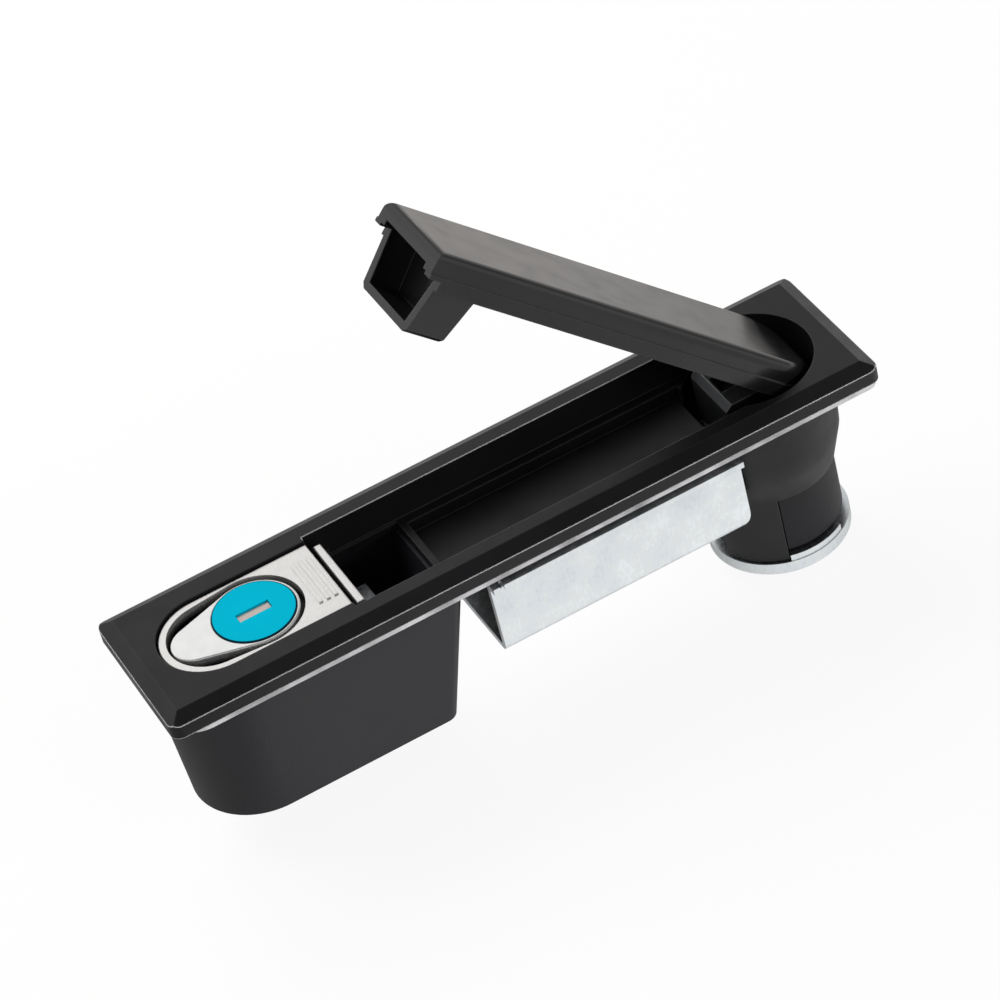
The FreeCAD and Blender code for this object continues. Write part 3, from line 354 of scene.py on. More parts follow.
def plated_finish(name, colour, softness, spangle):
    """Blue-white zinc plate: cloudy patches, faint rolling streaks and a breath of yellow."""
    made, tree, shader, place, edge = begin_finish(name, softness)
    shader.inputs["Metallic"].default_value = 1.0
    broad = clouds(tree, place, spangle * 9, 3.0)
    mottled = clouds(tree, place, spangle, 4.0, (1.0, 1.0, 2.2))
    both = put(tree, "ShaderNodeMath", {0: broad, 1: mottled}, operation="ADD").outputs["Value"]
    warm = (colour[0] * 0.99, colour[1] * 0.95, colour[2] * 0.92)
    tint = graded(tree, spread(tree, both, 0.6, 1.4, 0.0, 1.0),
                  [(0.12, shade(colour, 0.84)), (0.42, shade(colour, 0.95)), (0.55, warm),
                   (0.8, shade(colour, 1.07))])
    # Corners and rims lighter: wear and painted highlight
    tree.links.new(worn_and_highlit_edges(tree, edge, tint, (0.9, 0.92, 0.94), 0.6), shader.inputs["Base Color"])
    tree.links.new(spread(tree, mottled, 0.32, 0.68, 0.3, 0.45), shader.inputs["Roughness"])
    rolled = clouds(tree, place, 0.0006, 2.0, (14.0, 1.0, 1.0))
    streaks = raised(tree, rolled, 0.10, 0.00005, edge)
    tree.links.new(raised(tree, mottled, 0.1, 0.00006, streaks), shader.inputs["Normal"])
    return made


def chrome_finish(name, colour, softness, blur, pit):
    """Satin plating with slight cloudiness and fine wiping marks, darkened towards the depth of a pit as painted
    shade.
    """
    made, tree, shader, place, edge = begin_finish(name, softness)
    shader.inputs["Metallic"].default_value = 0.8
    haze = clouds(tree, place, 0.003, 4.0)
    tint = graded(tree, haze, [(0.3, shade(colour, 0.95)), (0.7, shade(colour, 1.03))])
    height = put(tree, "ShaderNodeSeparateXYZ", {0: place}).outputs["Z"]
    # Painted shade: the colour darkens towards the bottom of the pit
    depth = graded(tree, spread(tree, height, pit, pit + SHADED_PIT_DEPTH, 0.0, 1.0),
                   [(at, (grey, grey, grey)) for at, grey in ((0.0, 0.01), (0.12, 0.03), (0.45, 0.8), (0.6, 1))])
    deep = put(tree, "ShaderNodeMix", {0: 1.0, 6: tint, 7: depth}, data_type="RGBA", blend_type="MULTIPLY")
    tree.links.new(deep.outputs[2], shader.inputs["Base Color"])
    tree.links.new(spread(tree, haze, 0.3, 0.7, blur, blur + 0.07), shader.inputs["Roughness"])
    wiped = clouds(tree, place, 0.00025, 1.0, (1.0, 10.0, 1.0))
    tree.links.new(raised(tree, wiped, 0.015, 0.00003, edge), shader.inputs["Normal"])
    return made


def from_axis(tree, place, centre):
    """Distance from an upright axis through a point."""
    away = put(tree, "ShaderNodeVectorMath", {0: place, 1: centre}, operation="SUBTRACT").outputs["Vector"]
    flat = put(tree, "ShaderNodeVectorMath", {0: away, 1: (1.0, 1.0, 0.0)}, operation="MULTIPLY").outputs["Vector"]
    return put(tree, "ShaderNodeVectorMath", {0: flat}, operation="LENGTH").outputs["Value"]


def disc_finish(name, colour, softness, centre, radius):
    """Enamelled disc: even blue with a dark rim and faint depth."""
    made, tree, shader, place, edge = begin_finish(name, softness)
    share = spread(tree, from_axis(tree, place, centre), 0.0, radius, 0.0, 1.0)
    dark = (0.002, 0.02, 0.035)
    rim = graded(tree, share, [(0.0, shade(colour, 1.05)), (0.955, colour), (0.975, dark), (1.0, dark)])
    tree.links.new(rim, shader.inputs["Base Color"])
    tree.links.new(spread(tree, clouds(tree, place, 0.002, 3.0), 0.3, 0.7, 0.4, 0.5), shader.inputs["Roughness"])
    shader.inputs["Specular IOR Level"].default_value = 0.03
    tree.links.new(raised(tree, clouds(tree, place, 0.0006, 2.0), 0.05, 0.00003, edge), shader.inputs["Normal"])
    return made


def turned_finish(name, colour, softness, centre, gloss):
    """Metal off the lathe: rings about its axis and small changes of tone."""
    made, tree, shader, place, edge = begin_finish(name, softness)
    shader.inputs["Metallic"].default_value = 1.0
    radius = from_axis(tree, place, centre)
    line = put(tree, "ShaderNodeCombineXYZ", {"X": radius}).outputs["Vector"]
    rings = put(tree, "ShaderNodeTexNoise", {"Vector": line, "Scale": 6000.0, "Detail": 1.0}).outputs["Fac"]
    tone = clouds(tree, place, 0.004, 3.0)
    tint = graded(tree, tone, [(0.3, shade(colour, 0.82)), (0.7, shade(colour, 1.1))])
    tree.links.new(tint, shader.inputs["Base Color"])
    tree.links.new(spread(tree, tone, 0.3, 0.7, gloss - 0.06, gloss + 0.08), shader.inputs["Roughness"])
    tree.links.new(raised(tree, rings, 0.15, 0.00004, edge), shader.inputs["Normal"])
    return made


def cast_finish(name, colour, softness):
    """Bare casting with a sandy skin."""
    made, tree, shader, place, edge = begin_finish(name, softness)
    shader.inputs["Metallic"].default_value = 0.85
    tone = clouds(tree, place, 0.005, 4.0)
    tint = graded(tree, tone, [(0.3, shade(colour, 0.78)), (0.7, shade(colour, 1.12))])
    # Corners and rims lighter: wear and painted highlight
    tree.links.new(worn_and_highlit_edges(tree, edge, tint, (0.8, 0.8, 0.8), 0.5), shader.inputs["Base Color"])
    tree.links.new(spread(tree, tone, 0.3, 0.7, 0.38, 0.55), shader.inputs["Roughness"])
    sandy = clouds(tree, place, 0.0005, 3.0)
    tree.links.new(raised(tree, sandy, 0.2, 0.0001, edge), shader.inputs["Normal"])
    return made


def rubber_finish(name, colour, softness):
    made, tree, shader, place, edge = begin_finish(name, softness)
    tone = clouds(tree, place, 0.008, 4.0)
    tint = graded(tree, tone, [(0.3, shade(colour, 0.7)), (0.7, shade(colour, 1.6))])
    tree.links.new(tint, shader.inputs["Base Color"])
    tree.links.new(spread(tree, tone, 0.3, 0.7, 0.62, 0.8), shader.inputs["Roughness"])
    shader.inputs["Specular IOR Level"].default_value = 0.35
    tree.links.new(raised(tree, clouds(tree, place, 0.0007, 2.0), 0.2, 0.0001, edge), shader.inputs["Normal"])
    return made


def middle(node):
    low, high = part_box(node)
    return (low + high) / 2


def smoothed(node, finish, crease, trim=None):
    """Stands for a CAD node: the same shape, joined up and shaded smooth across its fillets.
    Only what lies inside the trim mesh stays, where one is given."""
    source = LIBRARY[node].data
    mesh = bpy.data.meshes.new("finished_" + node)
    mesh.from_pydata([v.co for v in source.vertices], [], [p.vertices for p in source.polygons])
    work = bmesh.new()
    work.from_mesh(mesh)
    bmesh.ops.remove_doubles(work, verts=work.verts, dist=2e-6)
    work.to_mesh(mesh)
    work.free()
    mesh.shade_smooth()
    mesh.set_sharp_from_angle(angle=crease)
    mesh.materials.clear()
    mesh.materials.append(finish)
    holder = bpy.data.objects.new("holder", mesh)
    bpy.context.scene.collection.objects.link(holder)
    if trim:
        cutter = bpy.data.objects.new("cutter", trim)
        bpy.context.scene.collection.objects.link(cutter)
        cut = holder.modifiers.new("Trim", "BOOLEAN")
        cut.operation, cut.solver, cut.object = "INTERSECT", "EXACT", cutter
    flat = holder.modifiers.new("Flat faces stay flat", "WEIGHTED_NORMAL")
    flat.mode, flat.weight, flat.keep_sharp = "FACE_AREA_WITH_ANGLE", 50, True
    even = bpy.data.meshes.new_from_object(holder.evaluated_get(bpy.context.evaluated_depsgraph_get()))
    bpy.data.objects.remove(holder)
    if trim:
        bpy.data.objects.remove(cutter)
    return stand_in(even, "finished_" + node, node)


def stand_in(mesh, name, node, across=None):
    """Puts a mesh in the scene in place of a CAD node, on the same body.
    A spring across a joint is instead left without a body, its placement baked in; the (body, body, start, end) that
    across holds are not used."""
    obj = bpy.data.objects.new(name, mesh)
    bpy.context.scene.collection.objects.link(obj)
    if across:
        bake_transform(obj)
    else:
        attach(obj, LIBRARY[node]["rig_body"])
    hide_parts(node)
    return obj


def give(node, finish):
    """Gives a CAD node that stays as it is its finish."""
    materials = LIBRARY[node].data.materials
    materials.clear()
    materials.append(finish)


def islands(node):
    """Lowest and highest corner of each loose solid in a CAD node."""
    work = bmesh.new()
    work.from_mesh(LIBRARY[node].data)
    bmesh.ops.remove_doubles(work, verts=work.verts, dist=2e-6)
    left, found = set(work.verts), []
    while left:
        group, queue = [], [left.pop()]
        while queue:
            vert = queue.pop()
            group.append(vert.co.copy())
            for link in vert.link_edges:
                other = link.other_vert(vert)
                if other in left:
                    left.remove(other)
                    queue.append(other)
        found.append((Vector(map(min, *group)), Vector(map(max, *group))))
    work.free()
    return found


def new_tree(name, sockets):
    """A geometry tree with named inputs. Returns it with its input node and each socket's identifier."""
    tree = bpy.data.node_groups.new(name, "GeometryNodeTree")
    tree.interface.new_socket("Geometry", in_out="INPUT", socket_type="NodeSocketGeometry")
    for label, kind in sockets:
        tree.interface.new_socket(label, in_out="INPUT", socket_type=kind)
    tree.interface.new_socket("Geometry", in_out="OUTPUT", socket_type="NodeSocketGeometry")
    idents = {item.name: item.identifier for item in tree.interface.items_tree if item.in_out == "INPUT"}
    return tree, put(tree, "NodeGroupInput"), idents


def close_tree(tree, source, path, radius, sides):
    """Sweeps a round wire along a path, then realizes it and sets its material."""
    profile = put(tree, "GeometryNodeCurvePrimitiveCircle", {"Resolution": sides, "Radius": radius})
    swept = put(tree, "GeometryNodeCurveToMesh", {"Curve": path, "Profile Curve": profile.outputs["Curve"],
                                                  "Fill Caps": True})
    real = put(tree, "GeometryNodeRealizeInstances", {"Geometry": swept.outputs["Mesh"]})
    smooth = put(tree, "GeometryNodeSetShadeSmooth", {"Geometry": real.outputs["Geometry"]})
    done = put(tree, "GeometryNodeSetMaterial", {"Geometry": smooth.outputs["Geometry"],
                                                 "Material": source.outputs["Finish"]})
    out = put(tree, "NodeGroupOutput")
    tree.links.new(done.outputs["Geometry"], out.inputs["Geometry"])


def wound_spring_tree():
    """Compression spring on +Z from the origin, with a closed turn at each end."""
    tree, source, idents = new_tree("Wound spring", [
        ("Coil radius", "NodeSocketFloat"), ("Wire radius", "NodeSocketFloat"), ("Height", "NodeSocketFloat"),
        ("Turns", "NodeSocketFloat"), ("Steps", "NodeSocketInt"), ("Sides", "NodeSocketInt"),
        ("Finish", "NodeSocketMaterial")])
    at = source.outputs
    spiral = put(tree, "GeometryNodeCurveSpiral", {
        "Resolution": at["Steps"], "Rotations": at["Turns"], "Start Radius": at["Coil radius"],
        "End Radius": at["Coil radius"], "Height": at["Height"]})
    closed = put(tree, "GeometryNodeCurvePrimitiveCircle", {"Resolution": at["Steps"], "Radius": at["Coil radius"]})
    lift = put(tree, "ShaderNodeCombineXYZ", {"Z": at["Height"]})
    top = put(tree, "GeometryNodeTransform", {"Geometry": closed.outputs["Curve"], "Translation": lift.outputs[0]})
    both = put(tree, "GeometryNodeJoinGeometry")
    for piece in (spiral.outputs["Curve"], closed.outputs["Curve"], top.outputs["Geometry"]):
        tree.links.new(piece, both.inputs["Geometry"])
    close_tree(tree, source, both.outputs["Geometry"], at["Wire radius"], at["Sides"])
    return tree, idents


def bent_wire_tree():
    """Round wire along the edges of the mesh that carries the modifier."""
    tree, source, idents = new_tree("Bent wire", [
        ("Wire radius", "NodeSocketFloat"), ("Sides", "NodeSocketInt"), ("Finish", "NodeSocketMaterial")])
    path = put(tree, "GeometryNodeMeshToCurve", {"Mesh": source.outputs["Geometry"]})
    close_tree(tree, source, path.outputs["Curve"], source.outputs["Wire radius"], source.outputs["Sides"])
    return tree, idents


def grown(tree, idents, values, mesh=None):
    """Runs a geometry tree once and returns the plain mesh that it makes."""
    holder = bpy.data.objects.new("holder", mesh or bpy.data.meshes.new("holder"))
    bpy.context.scene.collection.objects.link(holder)
    modifier = holder.modifiers.new("Tree", "NODES")
    modifier.node_group = tree
    for name, value in values.items():
        modifier[idents[name]] = value
    depsgraph = bpy.context.evaluated_depsgraph_get()
    made = bpy.data.meshes.new_from_object(holder.evaluated_get(depsgraph))
    bpy.data.objects.remove(holder)
    if not made.polygons:
        raise RuntimeError(tree.name + " made nothing")
    return made


def joined(meshes):
    """One mesh out of several that share a material."""
    work = bmesh.new()
    for mesh in meshes:
        work.from_mesh(mesh)
    result = bpy.data.meshes.new("joined")
    work.to_mesh(result)
    work.free()
    result.materials.append(meshes[0].materials[0])
    return result


class LOCK_OT_dress_housing(bpy.types.Operator):
    """Coats the bezel, its recess and its hub"""
    bl_idname = "swing_lock.dress_housing"
    bl_label = "Housing"

    def execute(self, context):
        colours, surfaces = context.scene.lock_colours, context.scene.lock_surfaces
        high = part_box("base_housing")[1]
        # Painted highlight lines: boxes round the bevel, round the foot, and along the recess's far edge
        bevel, foot, recess = (("Z", high.z - start, high.z - end) for start, end in (BEVEL_RIM, FOOT_RIM, RECESS_RIM))
        inset = ("Y", *(high.y - depth for depth in RECESS_RIM_INSET))
        highlit = [[bevel], [foot], [recess, inset, ("X", *RECESS_RIM_ALONG)]]
        coat = coat_finish("housing coat", colours.housing, surfaces.softness, surfaces.peel, 0.38, WORN_AND_HIGHLIT, 0.32, highlit)
        smoothed("base_housing", coat, surfaces.crease)
        return {"FINISHED"}


class LOCK_OT_dress_lever(bpy.types.Operator):
    """Coats the lifted lever"""
    bl_idname = "swing_lock.dress_lever"
    bl_label = "Lever"

    def execute(self, context):
        colours, surfaces = context.scene.lock_colours, context.scene.lock_surfaces
        coat = coat_finish("lever coat", colours.lever, surfaces.softness, surfaces.peel, 0.2, WORN_AND_HIGHLIT_LEVER, 0.52)
        smoothed("handle_lever", coat, surfaces.crease)
        return {"FINISHED"}


class LOCK_OT_dress_lock_box(bpy.types.Operator):
    """Gives the lock box and the hub's sleeve their moulded surfaces"""
    bl_idname = "swing_lock.dress_lock_box"
    bl_label = "Lock box and sleeve"

    def execute(self, context):
        colours, surfaces = context.scene.lock_colours, context.scene.lock_surfaces
        tub = moulded_finish("grained moulding", colours.tub, surfaces.softness, surfaces.grain, 0.5, 0.48, BOX_RIM_HIGHLIGHT)
        sleeve = moulded_finish("sleeve moulding", colours.sleeve, surfaces.softness, surfaces.grain, 0.42, 0.22)
        smoothed("lock_box", tub, surfaces.crease)
        smoothed("stop_sleeve", sleeve, surfaces.crease)
        return {"FINISHED"}


class LOCK_OT_dress_plated(bpy.types.Operator):
    """Plates the bracket, its screws and washers, the dish, the cam and the latch"""
    bl_idname = "swing_lock.dress_plated"
    bl_label = "Zinc plated pieces"

    def execute(self, context):
        colours, surfaces = context.scene.lock_colours, context.scene.lock_surfaces
        plate = plated_finish("blue-white zinc", colours.zinc, surfaces.sharpness, surfaces.spangle)
        for node in ("clamp_bracket", "clamp_screws", "clamp_washers", "limiter_cup", "plug_cam", "latch_slide"):
            smoothed(node, plate, surfaces.crease)
        return {"FINISHED"}


class LOCK_OT_dress_spindle(bpy.types.Operator):
    """Finishes the spindle, its pin, circlip, washer and seal, the chamber strip and the small screws"""
    bl_idname = "swing_lock.dress_spindle"
    bl_label = "Spindle and rubber"

    def execute(self, context):
        colours, surfaces = context.scene.lock_colours, context.scene.lock_surfaces
        casting = cast_finish("bare casting", colours.casting, surfaces.softness)
        rubber = rubber_finish("black rubber", colours.rubber, surfaces.softness)
        ground = turned_finish("ground steel", GROUND, surfaces.sharpness, middle("hinge_pin"), 0.28)
        black = turned_finish("blackened steel", colours.blacked, surfaces.sharpness, middle("spindle"), 0.42)
        for node, finish in (("spindle", casting), ("chamber_strip", casting), ("hinge_pin", ground),
                             ("spindle_circlip", black), ("box_screws", black), ("cam_screw", black),
                             ("thrust_washer", rubber), ("spindle_seal", rubber)):
            smoothed(node, finish, surfaces.crease)
        return {"FINISHED"}


class LOCK_OT_cut_gasket(bpy.types.Operator):
    """Rounds the corners of the gasket's end beside the lock box"""
    bl_idname = "swing_lock.cut_gasket"
    bl_label = "Gasket"

    def execute(self, context):
        colours, surfaces = context.scene.lock_colours, context.scene.lock_surfaces
        low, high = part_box("panel_gasket")
        half, radius, steps = (high.y - low.y) / 2 + 0.00001, GASKET_CORNER, 24
        outline = []
        for side, start in ((1, 0), (-1, steps)):
            for k in range(start, start + steps + 1):
                angle = math.pi * k / (2 * steps)
                outline.append((low.x + radius - radius * math.sin(angle),
                                side * (half - radius) + radius * math.cos(angle)))
        outline += [(high.x + 0.001, -half), (high.x + 0.001, half)]
        count = len(outline)
        verts = [(x, y, z) for z in (low.z - 0.001, high.z + 0.001) for x, y in outline]
        faces = [tuple(range(count))[::-1], tuple(range(count, 2 * count))]
        faces += [(k, (k + 1) % count, (k + 1) % count + count, k + count) for k in range(count)]
        trim = bpy.data.meshes.new("rounded end")
        trim.from_pydata(verts, [], faces)
        smoothed("panel_gasket", rubber_finish("gasket rubber", colours.gasket, surfaces.softness), surfaces.crease,
                 trim)
        return {"FINISHED"}


class LOCK_OT_dress_button(bpy.types.Operator):
    """Chromes the push button and the teardrop cylinder"""
    bl_idname = "swing_lock.dress_button"
    bl_label = "Button and cylinder"

    def execute(self, context):
        colours, surfaces = context.scene.lock_colours, context.scene.lock_surfaces
        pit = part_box("push_button")[1].z - SHADED_PIT_DEPTH
        button = chrome_finish("button plating", colours.plate, surfaces.sharpness, 0.22, pit)
        barrel = chrome_finish("cylinder chrome", colours.chrome, surfaces.sharpness, 0.2, pit)
        smoothed("push_button", button, surfaces.crease)
        smoothed("lock_barrel", barrel, surfaces.crease)
        return {"FINISHED"}


class LOCK_OT_dress_plug(bpy.types.Operator):
    """Finishes the plug, its blue disc, the shutter and the pins"""
    bl_idname = "swing_lock.dress_plug"
    bl_label = "Plug and disc"

    def execute(self, context):
        colours, surfaces = context.scene.lock_colours, context.scene.lock_surfaces
        centre = middle("plug_face")
        low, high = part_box("plug_face")
        disc = disc_finish("disc enamel", colours.disc, surfaces.sharpness, centre, (high.x - low.x) / 2)
        brass = turned_finish("turned brass", colours.brass, surfaces.sharpness, centre, 0.3)
        warm = cast_finish("shutter steel", colours.shutter, surfaces.sharpness)
        for node, finish in (("plug_face", disc), ("key_plug", brass), ("key_pins", brass), ("driver_pins", brass),
                             ("slot_shutter", warm)):
            smoothed(node, finish, surfaces.crease)
        return {"FINISHED"}


def spring_between(tree, idents, low, high, turns, wire, sizes, finish):
    """A spring that fills a box, wound about the box's odd side."""
    size = high - low
    gaps = [abs(size[k - 1] - size[k - 2]) for k in range(3)]
    axis = gaps.index(min(gaps))
    length = size[axis]
    radius = size[axis - 1] / 2 - wire
    mesh = grown(tree, idents, {"Coil radius": radius, "Wire radius": wire, "Height": length - 2 * wire,
                                "Turns": turns, "Steps": sizes.steps, "Sides": sizes.sides, "Finish": finish})
    centre = (low + high) / 2
    start = centre.copy()
    start[axis] = low[axis] + wire
    turn = (Matrix.Rotation(math.pi / 2, 4, "Y"), Matrix.Rotation(-math.pi / 2, 4, "X"), Matrix.Identity(4))[axis]
    mesh.transform(Matrix.Translation(start) @ turn)
    return mesh


class LOCK_OT_wind_springs(bpy.types.Operator):
    """Winds the springs of the button, the latch, the shutter and the pins"""
    bl_idname = "swing_lock.wind_springs"
    bl_label = "Wound springs"

    def execute(self, context):
        sizes, surfaces = context.scene.lock_wire, context.scene.lock_surfaces
        finish = turned_finish("drawn wire", WIRE, surfaces.sharpness, (0.0, 0.0, 0.0), 0.3)
        tree, idents = wound_spring_tree()
        for node, wire, bodies, axis in WOUND:
            made = [spring_between(tree, idents, low, high, WOUND_TURNS, wire, sizes, finish)
                    for low, high in islands(node)]
            start, end = middle(node), middle(node)
            low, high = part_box(node)
            start[axis], end[axis] = low[axis] + 2 * wire, high[axis] - 2 * wire
            stand_in(joined(made), "wound_" + node, node, bodies and (*bodies, start, end))
        give("barrel_clip", finish)
        return {"FINISHED"}


class LOCK_OT_bend_popup_spring(bpy.types.Operator):
    """Bends the torsion spring that lifts the lever, with one leg on the spindle and one under the lever"""
    bl_idname = "swing_lock.bend_popup_spring"
    bl_label = "Lever's spring"

    def execute(self, context):
        sizes, surfaces = context.scene.lock_wire, context.scene.lock_surfaces
        finish = turned_finish("drawn wire of the lever", WIRE, surfaces.sharpness, (0.0, 0.0, 0.0), 0.3)
        pin_low, pin_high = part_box("hinge_pin")
        low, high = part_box("popup_spring")
        wire, centre = POPUP_WIRE, (pin_low + pin_high) / 2
        radius = (pin_high.z - pin_low.z) / 2 + POPUP_ROOM + wire
        side = (high.y - low.y) / 2 - wire
        points = [Vector((centre.x - POPUP_LEGS[0], -side, centre.z + radius))]
        count = round(POPUP_TURNS * sizes.steps)
        for k in range(count + 1):
            angle = 2 * math.pi * POPUP_TURNS * k / count
            points.append(centre + Vector((radius * math.sin(angle), side * (2 * k / count - 1),
                                           radius * math.cos(angle))))
        s = math.sqrt(0.5)
        points.append(points[-1] + Vector((-s, 0.0, s)) * POPUP_LEGS[1])
        mesh = bpy.data.meshes.new("spring path")
        mesh.from_pydata(points, [(k, k + 1) for k in range(len(points) - 1)], [])
        tree, idents = bent_wire_tree()
        made = grown(tree, idents, {"Wire radius": wire, "Sides": sizes.sides, "Finish": finish}, mesh)
        start, end = (Vector((centre.x, y, centre.z)) for y in (-side, side))
        stand_in(made, "bent_popup_spring", "popup_spring", ("spindle", "handle", start, end))
        return {"FINISHED"}


class LOCK_OT_cut_thread(bpy.types.Operator):
    """Shows the thread in the spindle's foot"""
    bl_idname = "swing_lock.cut_thread"
    bl_label = "Thread"

    def execute(self, context):
        sizes, surfaces = context.scene.lock_wire, context.scene.lock_surfaces
        hole = MOUNT["cam_thread"]
        radius, depth = hole["dims"]["r_mm"] / 1000, hole["dims"]["length_mm"] / 1000
        finish = turned_finish("cut thread", context.scene.lock_colours.casting, surfaces.sharpness, (0.0, 0.0, 0.0),
                               0.32)
        tree, idents = wound_spring_tree()
        ridge = sizes.pitch * RIDGE
        mesh = grown(tree, idents, {
            "Coil radius": radius, "Wire radius": ridge, "Height": depth - 4 * ridge,
            "Turns": (depth - 4 * ridge) / sizes.pitch, "Steps": sizes.steps, "Sides": RIDGE_SIDES,
            "Finish": finish})
        mesh.transform(Matrix.Translation(Vector(hole["pos_m"]) + Vector((0.0, 0.0, 2 * ridge))))
        obj = bpy.data.objects.new("foot_thread", mesh)
        context.scene.collection.objects.link(obj)
        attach(obj, "spindle")
        return {"FINISHED"}


def area_light(name, place, aim, size, power, colour):
    """A soft lamp that reflections don't show."""
    data = bpy.data.lights.new(name, "AREA")
    data.shape, data.size, data.size_y = "RECTANGLE", size[0], size[1]
    data.energy, data.color = power, colour
    obj = bpy.data.objects.new(name, data)
    obj.location = place
    obj.visible_glossy = False
    obj.rotation_euler = (Vector(aim) - Vector(place)).to_track_quat("-Z", "Y").to_euler()
    bpy.context.scene.collection.objects.link(obj)


def seen_directly(tree):
    """One where the ray comes from the camera, a mirror or glass."""
    rays = put(tree, "ShaderNodeLightPath").outputs
    first = put(tree, "ShaderNodeMath", {0: rays["Is Camera Ray"], 1: rays["Is Glossy Ray"]}, operation="MAXIMUM")
    return put(tree, "ShaderNodeMath", {0: first.outputs[0], 1: rays["Is Transmission Ray"]},
               operation="MAXIMUM").outputs[0], rays["Is Camera Ray"]


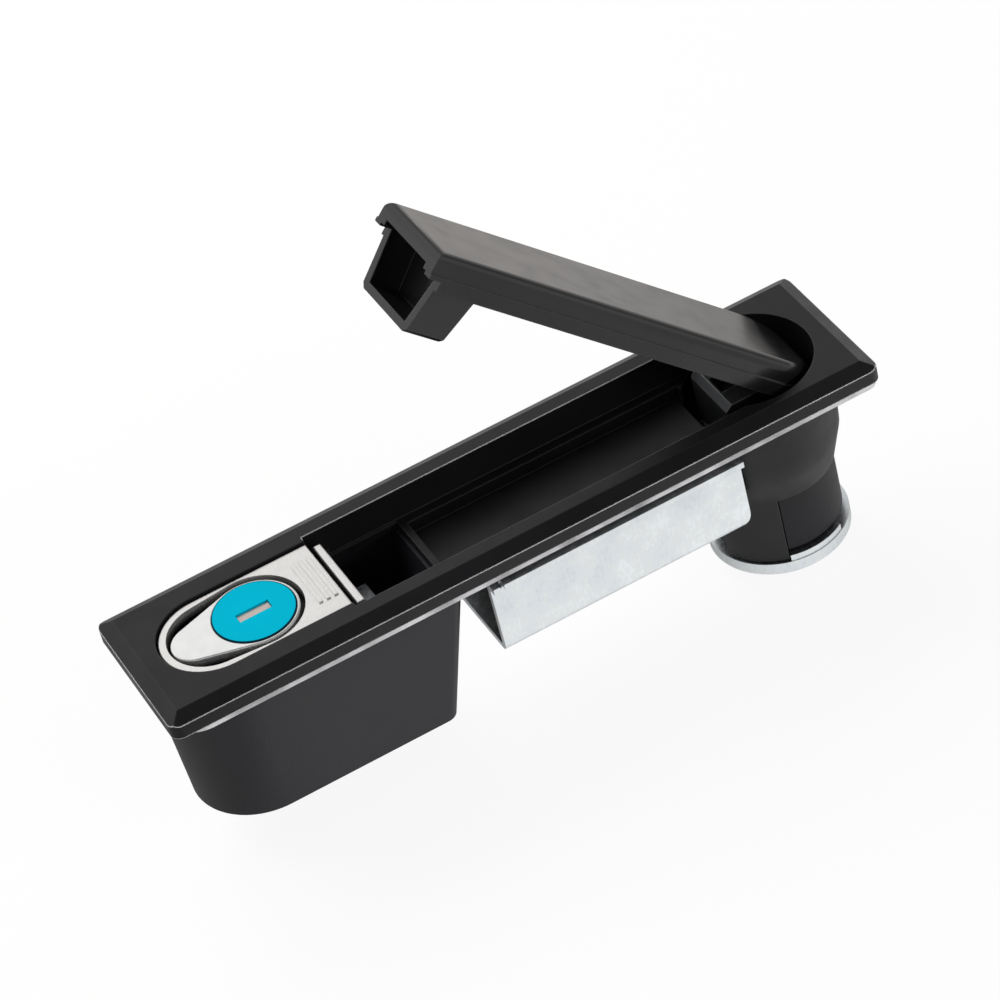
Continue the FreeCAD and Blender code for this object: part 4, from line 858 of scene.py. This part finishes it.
class LOCK_OT_build_stage(bpy.types.Operator):
    """Sets the floor, the soft light, the white surroundings and the camera"""
    bl_idname = "swing_lock.build_stage"
    bl_label = "Stage"

    def execute(self, context):
        stage = context.scene.lock_stage
        context.scene.view_settings.view_transform = "Standard"
        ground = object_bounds()[0].z
        floor_mesh = bpy.data.meshes.new("floor")
        floor_mesh.from_pydata([(x * FLOOR_REACH, y * FLOOR_REACH, ground)
                                for x, y in ((-1, -1), (1, -1), (1, 1), (-1, 1))], [], [(0, 1, 2, 3)])
        floor = bpy.data.objects.new("floor", floor_mesh)
        context.scene.collection.objects.link(floor)
        floor_mesh.materials.append(self.floor_material(stage.floor))
        floor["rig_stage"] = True
        self.light_world(context.scene, stage.daylight)
        area_light("key", (-0.35, 0.55, 0.75), (-0.06, 0.0, 0.0), (0.9, 0.6), stage.key, (1.0, 0.985, 0.97))
        area_light("fill", (0.5, -0.9, 0.36), (-0.06, 0.0, 0.0), (0.7, 0.25), stage.fill, (0.97, 0.985, 1.0))
        camera = bpy.data.objects.new("camera", bpy.data.cameras.new("camera"))
        camera.data.sensor_width = SENSOR
        camera.data.lens = stage.lens
        camera.data.clip_start, camera.data.clip_end = 0.05, 20.0
        camera.location = CAMERA_PLACE
        camera.rotation_euler = [math.radians(angle) for angle in CAMERA_TURN]
        context.scene.collection.objects.link(camera)
        context.scene.camera = camera
        return {"FINISHED"}

    def floor_material(self, colour):
        """Pale floor that keeps a soft shadow and otherwise runs into the white surroundings."""
        made = bpy.data.materials.new("pale floor")
        made.use_nodes = True
        tree = made.node_tree
        tree.nodes.clear()
        matte = put(tree, "ShaderNodeBsdfDiffuse", {"Color": (*colour, 1)})
        seen, camera = seen_directly(tree)
        parts = put(tree, "ShaderNodeSeparateXYZ", {0: put(tree, "ShaderNodeTexCoord").outputs["Object"]}).outputs
        along = put(tree, "ShaderNodeMath", {0: parts["X"], 1: parts["Y"]}, operation="ADD").outputs[0]
        behind = spread(tree, along, 0.1, 0.45, 0.35, 1.0)
        front = times(tree, spread(tree, parts["Y"], 0.03, -0.03, 0.0, 1.0),
                      spread(tree, parts["X"], -0.17, -0.112, 0.06, 1.0))
        front = times(tree, front, spread(tree, parts["Y"], -0.065, -0.11, 1.0, 0.6))
        level = put(tree, "ShaderNodeMath", {0: behind, 1: front}, operation="MAXIMUM").outputs[0]
        level = put(tree, "ShaderNodeMix", {0: camera, 2: level, 3: 1.0}).outputs[0]
        warmth = spread(tree, along, 0.1, 0.4, 0.0, 1.0)
        warmth = put(tree, "ShaderNodeMix", {0: camera, 2: warmth, 3: 0.0}).outputs[0]
        tint = blended(tree, warmth, (1.0, 1.0, 1.0), (1.0, 0.955, 0.92))
        white = put(tree, "ShaderNodeEmission", {"Color": tint, "Strength": level})
        share = times(tree, seen, 0.9)
        mix = put(tree, "ShaderNodeMixShader", {0: share, 1: matte.outputs[0], 2: white.outputs[0]})
        put(tree, "ShaderNodeOutputMaterial", {"Surface": mix.outputs[0]})
        return made

    def light_world(self, scene, daylight):
        """White to the camera; in reflections it is white behind the lock and low in front, and dark overhead."""
        world = bpy.data.worlds.new("studio")
        world.use_nodes = True
        scene.world = world
        tree = world.node_tree
        tree.nodes.clear()
        way = put(tree, "ShaderNodeTexCoord").outputs["Generated"]
        parts = put(tree, "ShaderNodeSeparateXYZ", {0: way}).outputs
        right = put(tree, "ShaderNodeMath", {0: spread(tree, parts["X"], 0.15, 0.5, 1.0, 0.4),
                                             1: spread(tree, parts["Z"], 0.25, 0.5, 1.0, 0.0)}, operation="MAXIMUM")
        behind = times(tree, spread(tree, parts["Y"], -0.1, 0.65, 0.14, 1.0), right.outputs[0])
        ahead = times(tree, spread(tree, parts["Z"], 0.62, 0.42, 0.0, 0.85),
                      spread(tree, parts["Y"], 0.1, -0.3, 0.0, 1.0))
        mirrored = put(tree, "ShaderNodeMath", {0: behind, 1: ahead}, operation="MAXIMUM").outputs[0]
        seen, camera = seen_directly(tree)
        level = put(tree, "ShaderNodeMix", {0: seen, 2: daylight, 3: mirrored}).outputs[0]
        level = put(tree, "ShaderNodeMix", {0: camera, 2: level, 3: 1.0}).outputs[0]
        back = put(tree, "ShaderNodeBackground", {"Color": (1.0, 1.0, 1.0, 1.0), "Strength": level})
        put(tree, "ShaderNodeOutputWorld", {"Surface": back.outputs[0]})


GROUPS = ((LockColours, "lock_colours"), (LockSurfaces, "lock_surfaces"), (LockWire, "lock_wire"),
          (LockStage, "lock_stage"))
STEPS = (LOCK_OT_dress_housing, LOCK_OT_dress_lever, LOCK_OT_dress_lock_box, LOCK_OT_dress_plated,
         LOCK_OT_dress_spindle, LOCK_OT_cut_gasket, LOCK_OT_dress_button, LOCK_OT_dress_plug, LOCK_OT_wind_springs,
         LOCK_OT_bend_popup_spring, LOCK_OT_cut_thread, LOCK_OT_build_stage)


class LOCK_PT_panel(bpy.types.Panel):
    """Lists the lock's steps and settings"""
    bl_label = "Swing lock"
    bl_idname = "LOCK_PT_panel"
    bl_space_type = "VIEW_3D"
    bl_region_type = "UI"
    bl_category = "Swing lock"

    def draw(self, context):
        for step in STEPS:
            self.layout.operator(step.bl_idname)
        for group, name in GROUPS:
            box = self.layout.box()
            for field in group.__annotations__:
                box.prop(getattr(context.scene, name), field)


def register():
    for group, name in GROUPS:
        bpy.utils.register_class(group)
        setattr(bpy.types.Scene, name, PointerProperty(type=group))
    for step in STEPS:
        bpy.utils.register_class(step)
    bpy.utils.register_class(LOCK_PT_panel)


def unregister():
    bpy.utils.unregister_class(LOCK_PT_panel)
    for step in reversed(STEPS):
        bpy.utils.unregister_class(step)
    for group, name in reversed(GROUPS):
        delattr(bpy.types.Scene, name)
        bpy.utils.unregister_class(group)


def main():
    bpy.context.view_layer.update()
    register()
    for step in STEPS:
        family, name = step.bl_idname.split(".")
        getattr(getattr(bpy.ops, family), name)()


if __name__ == "__main__":
    main()
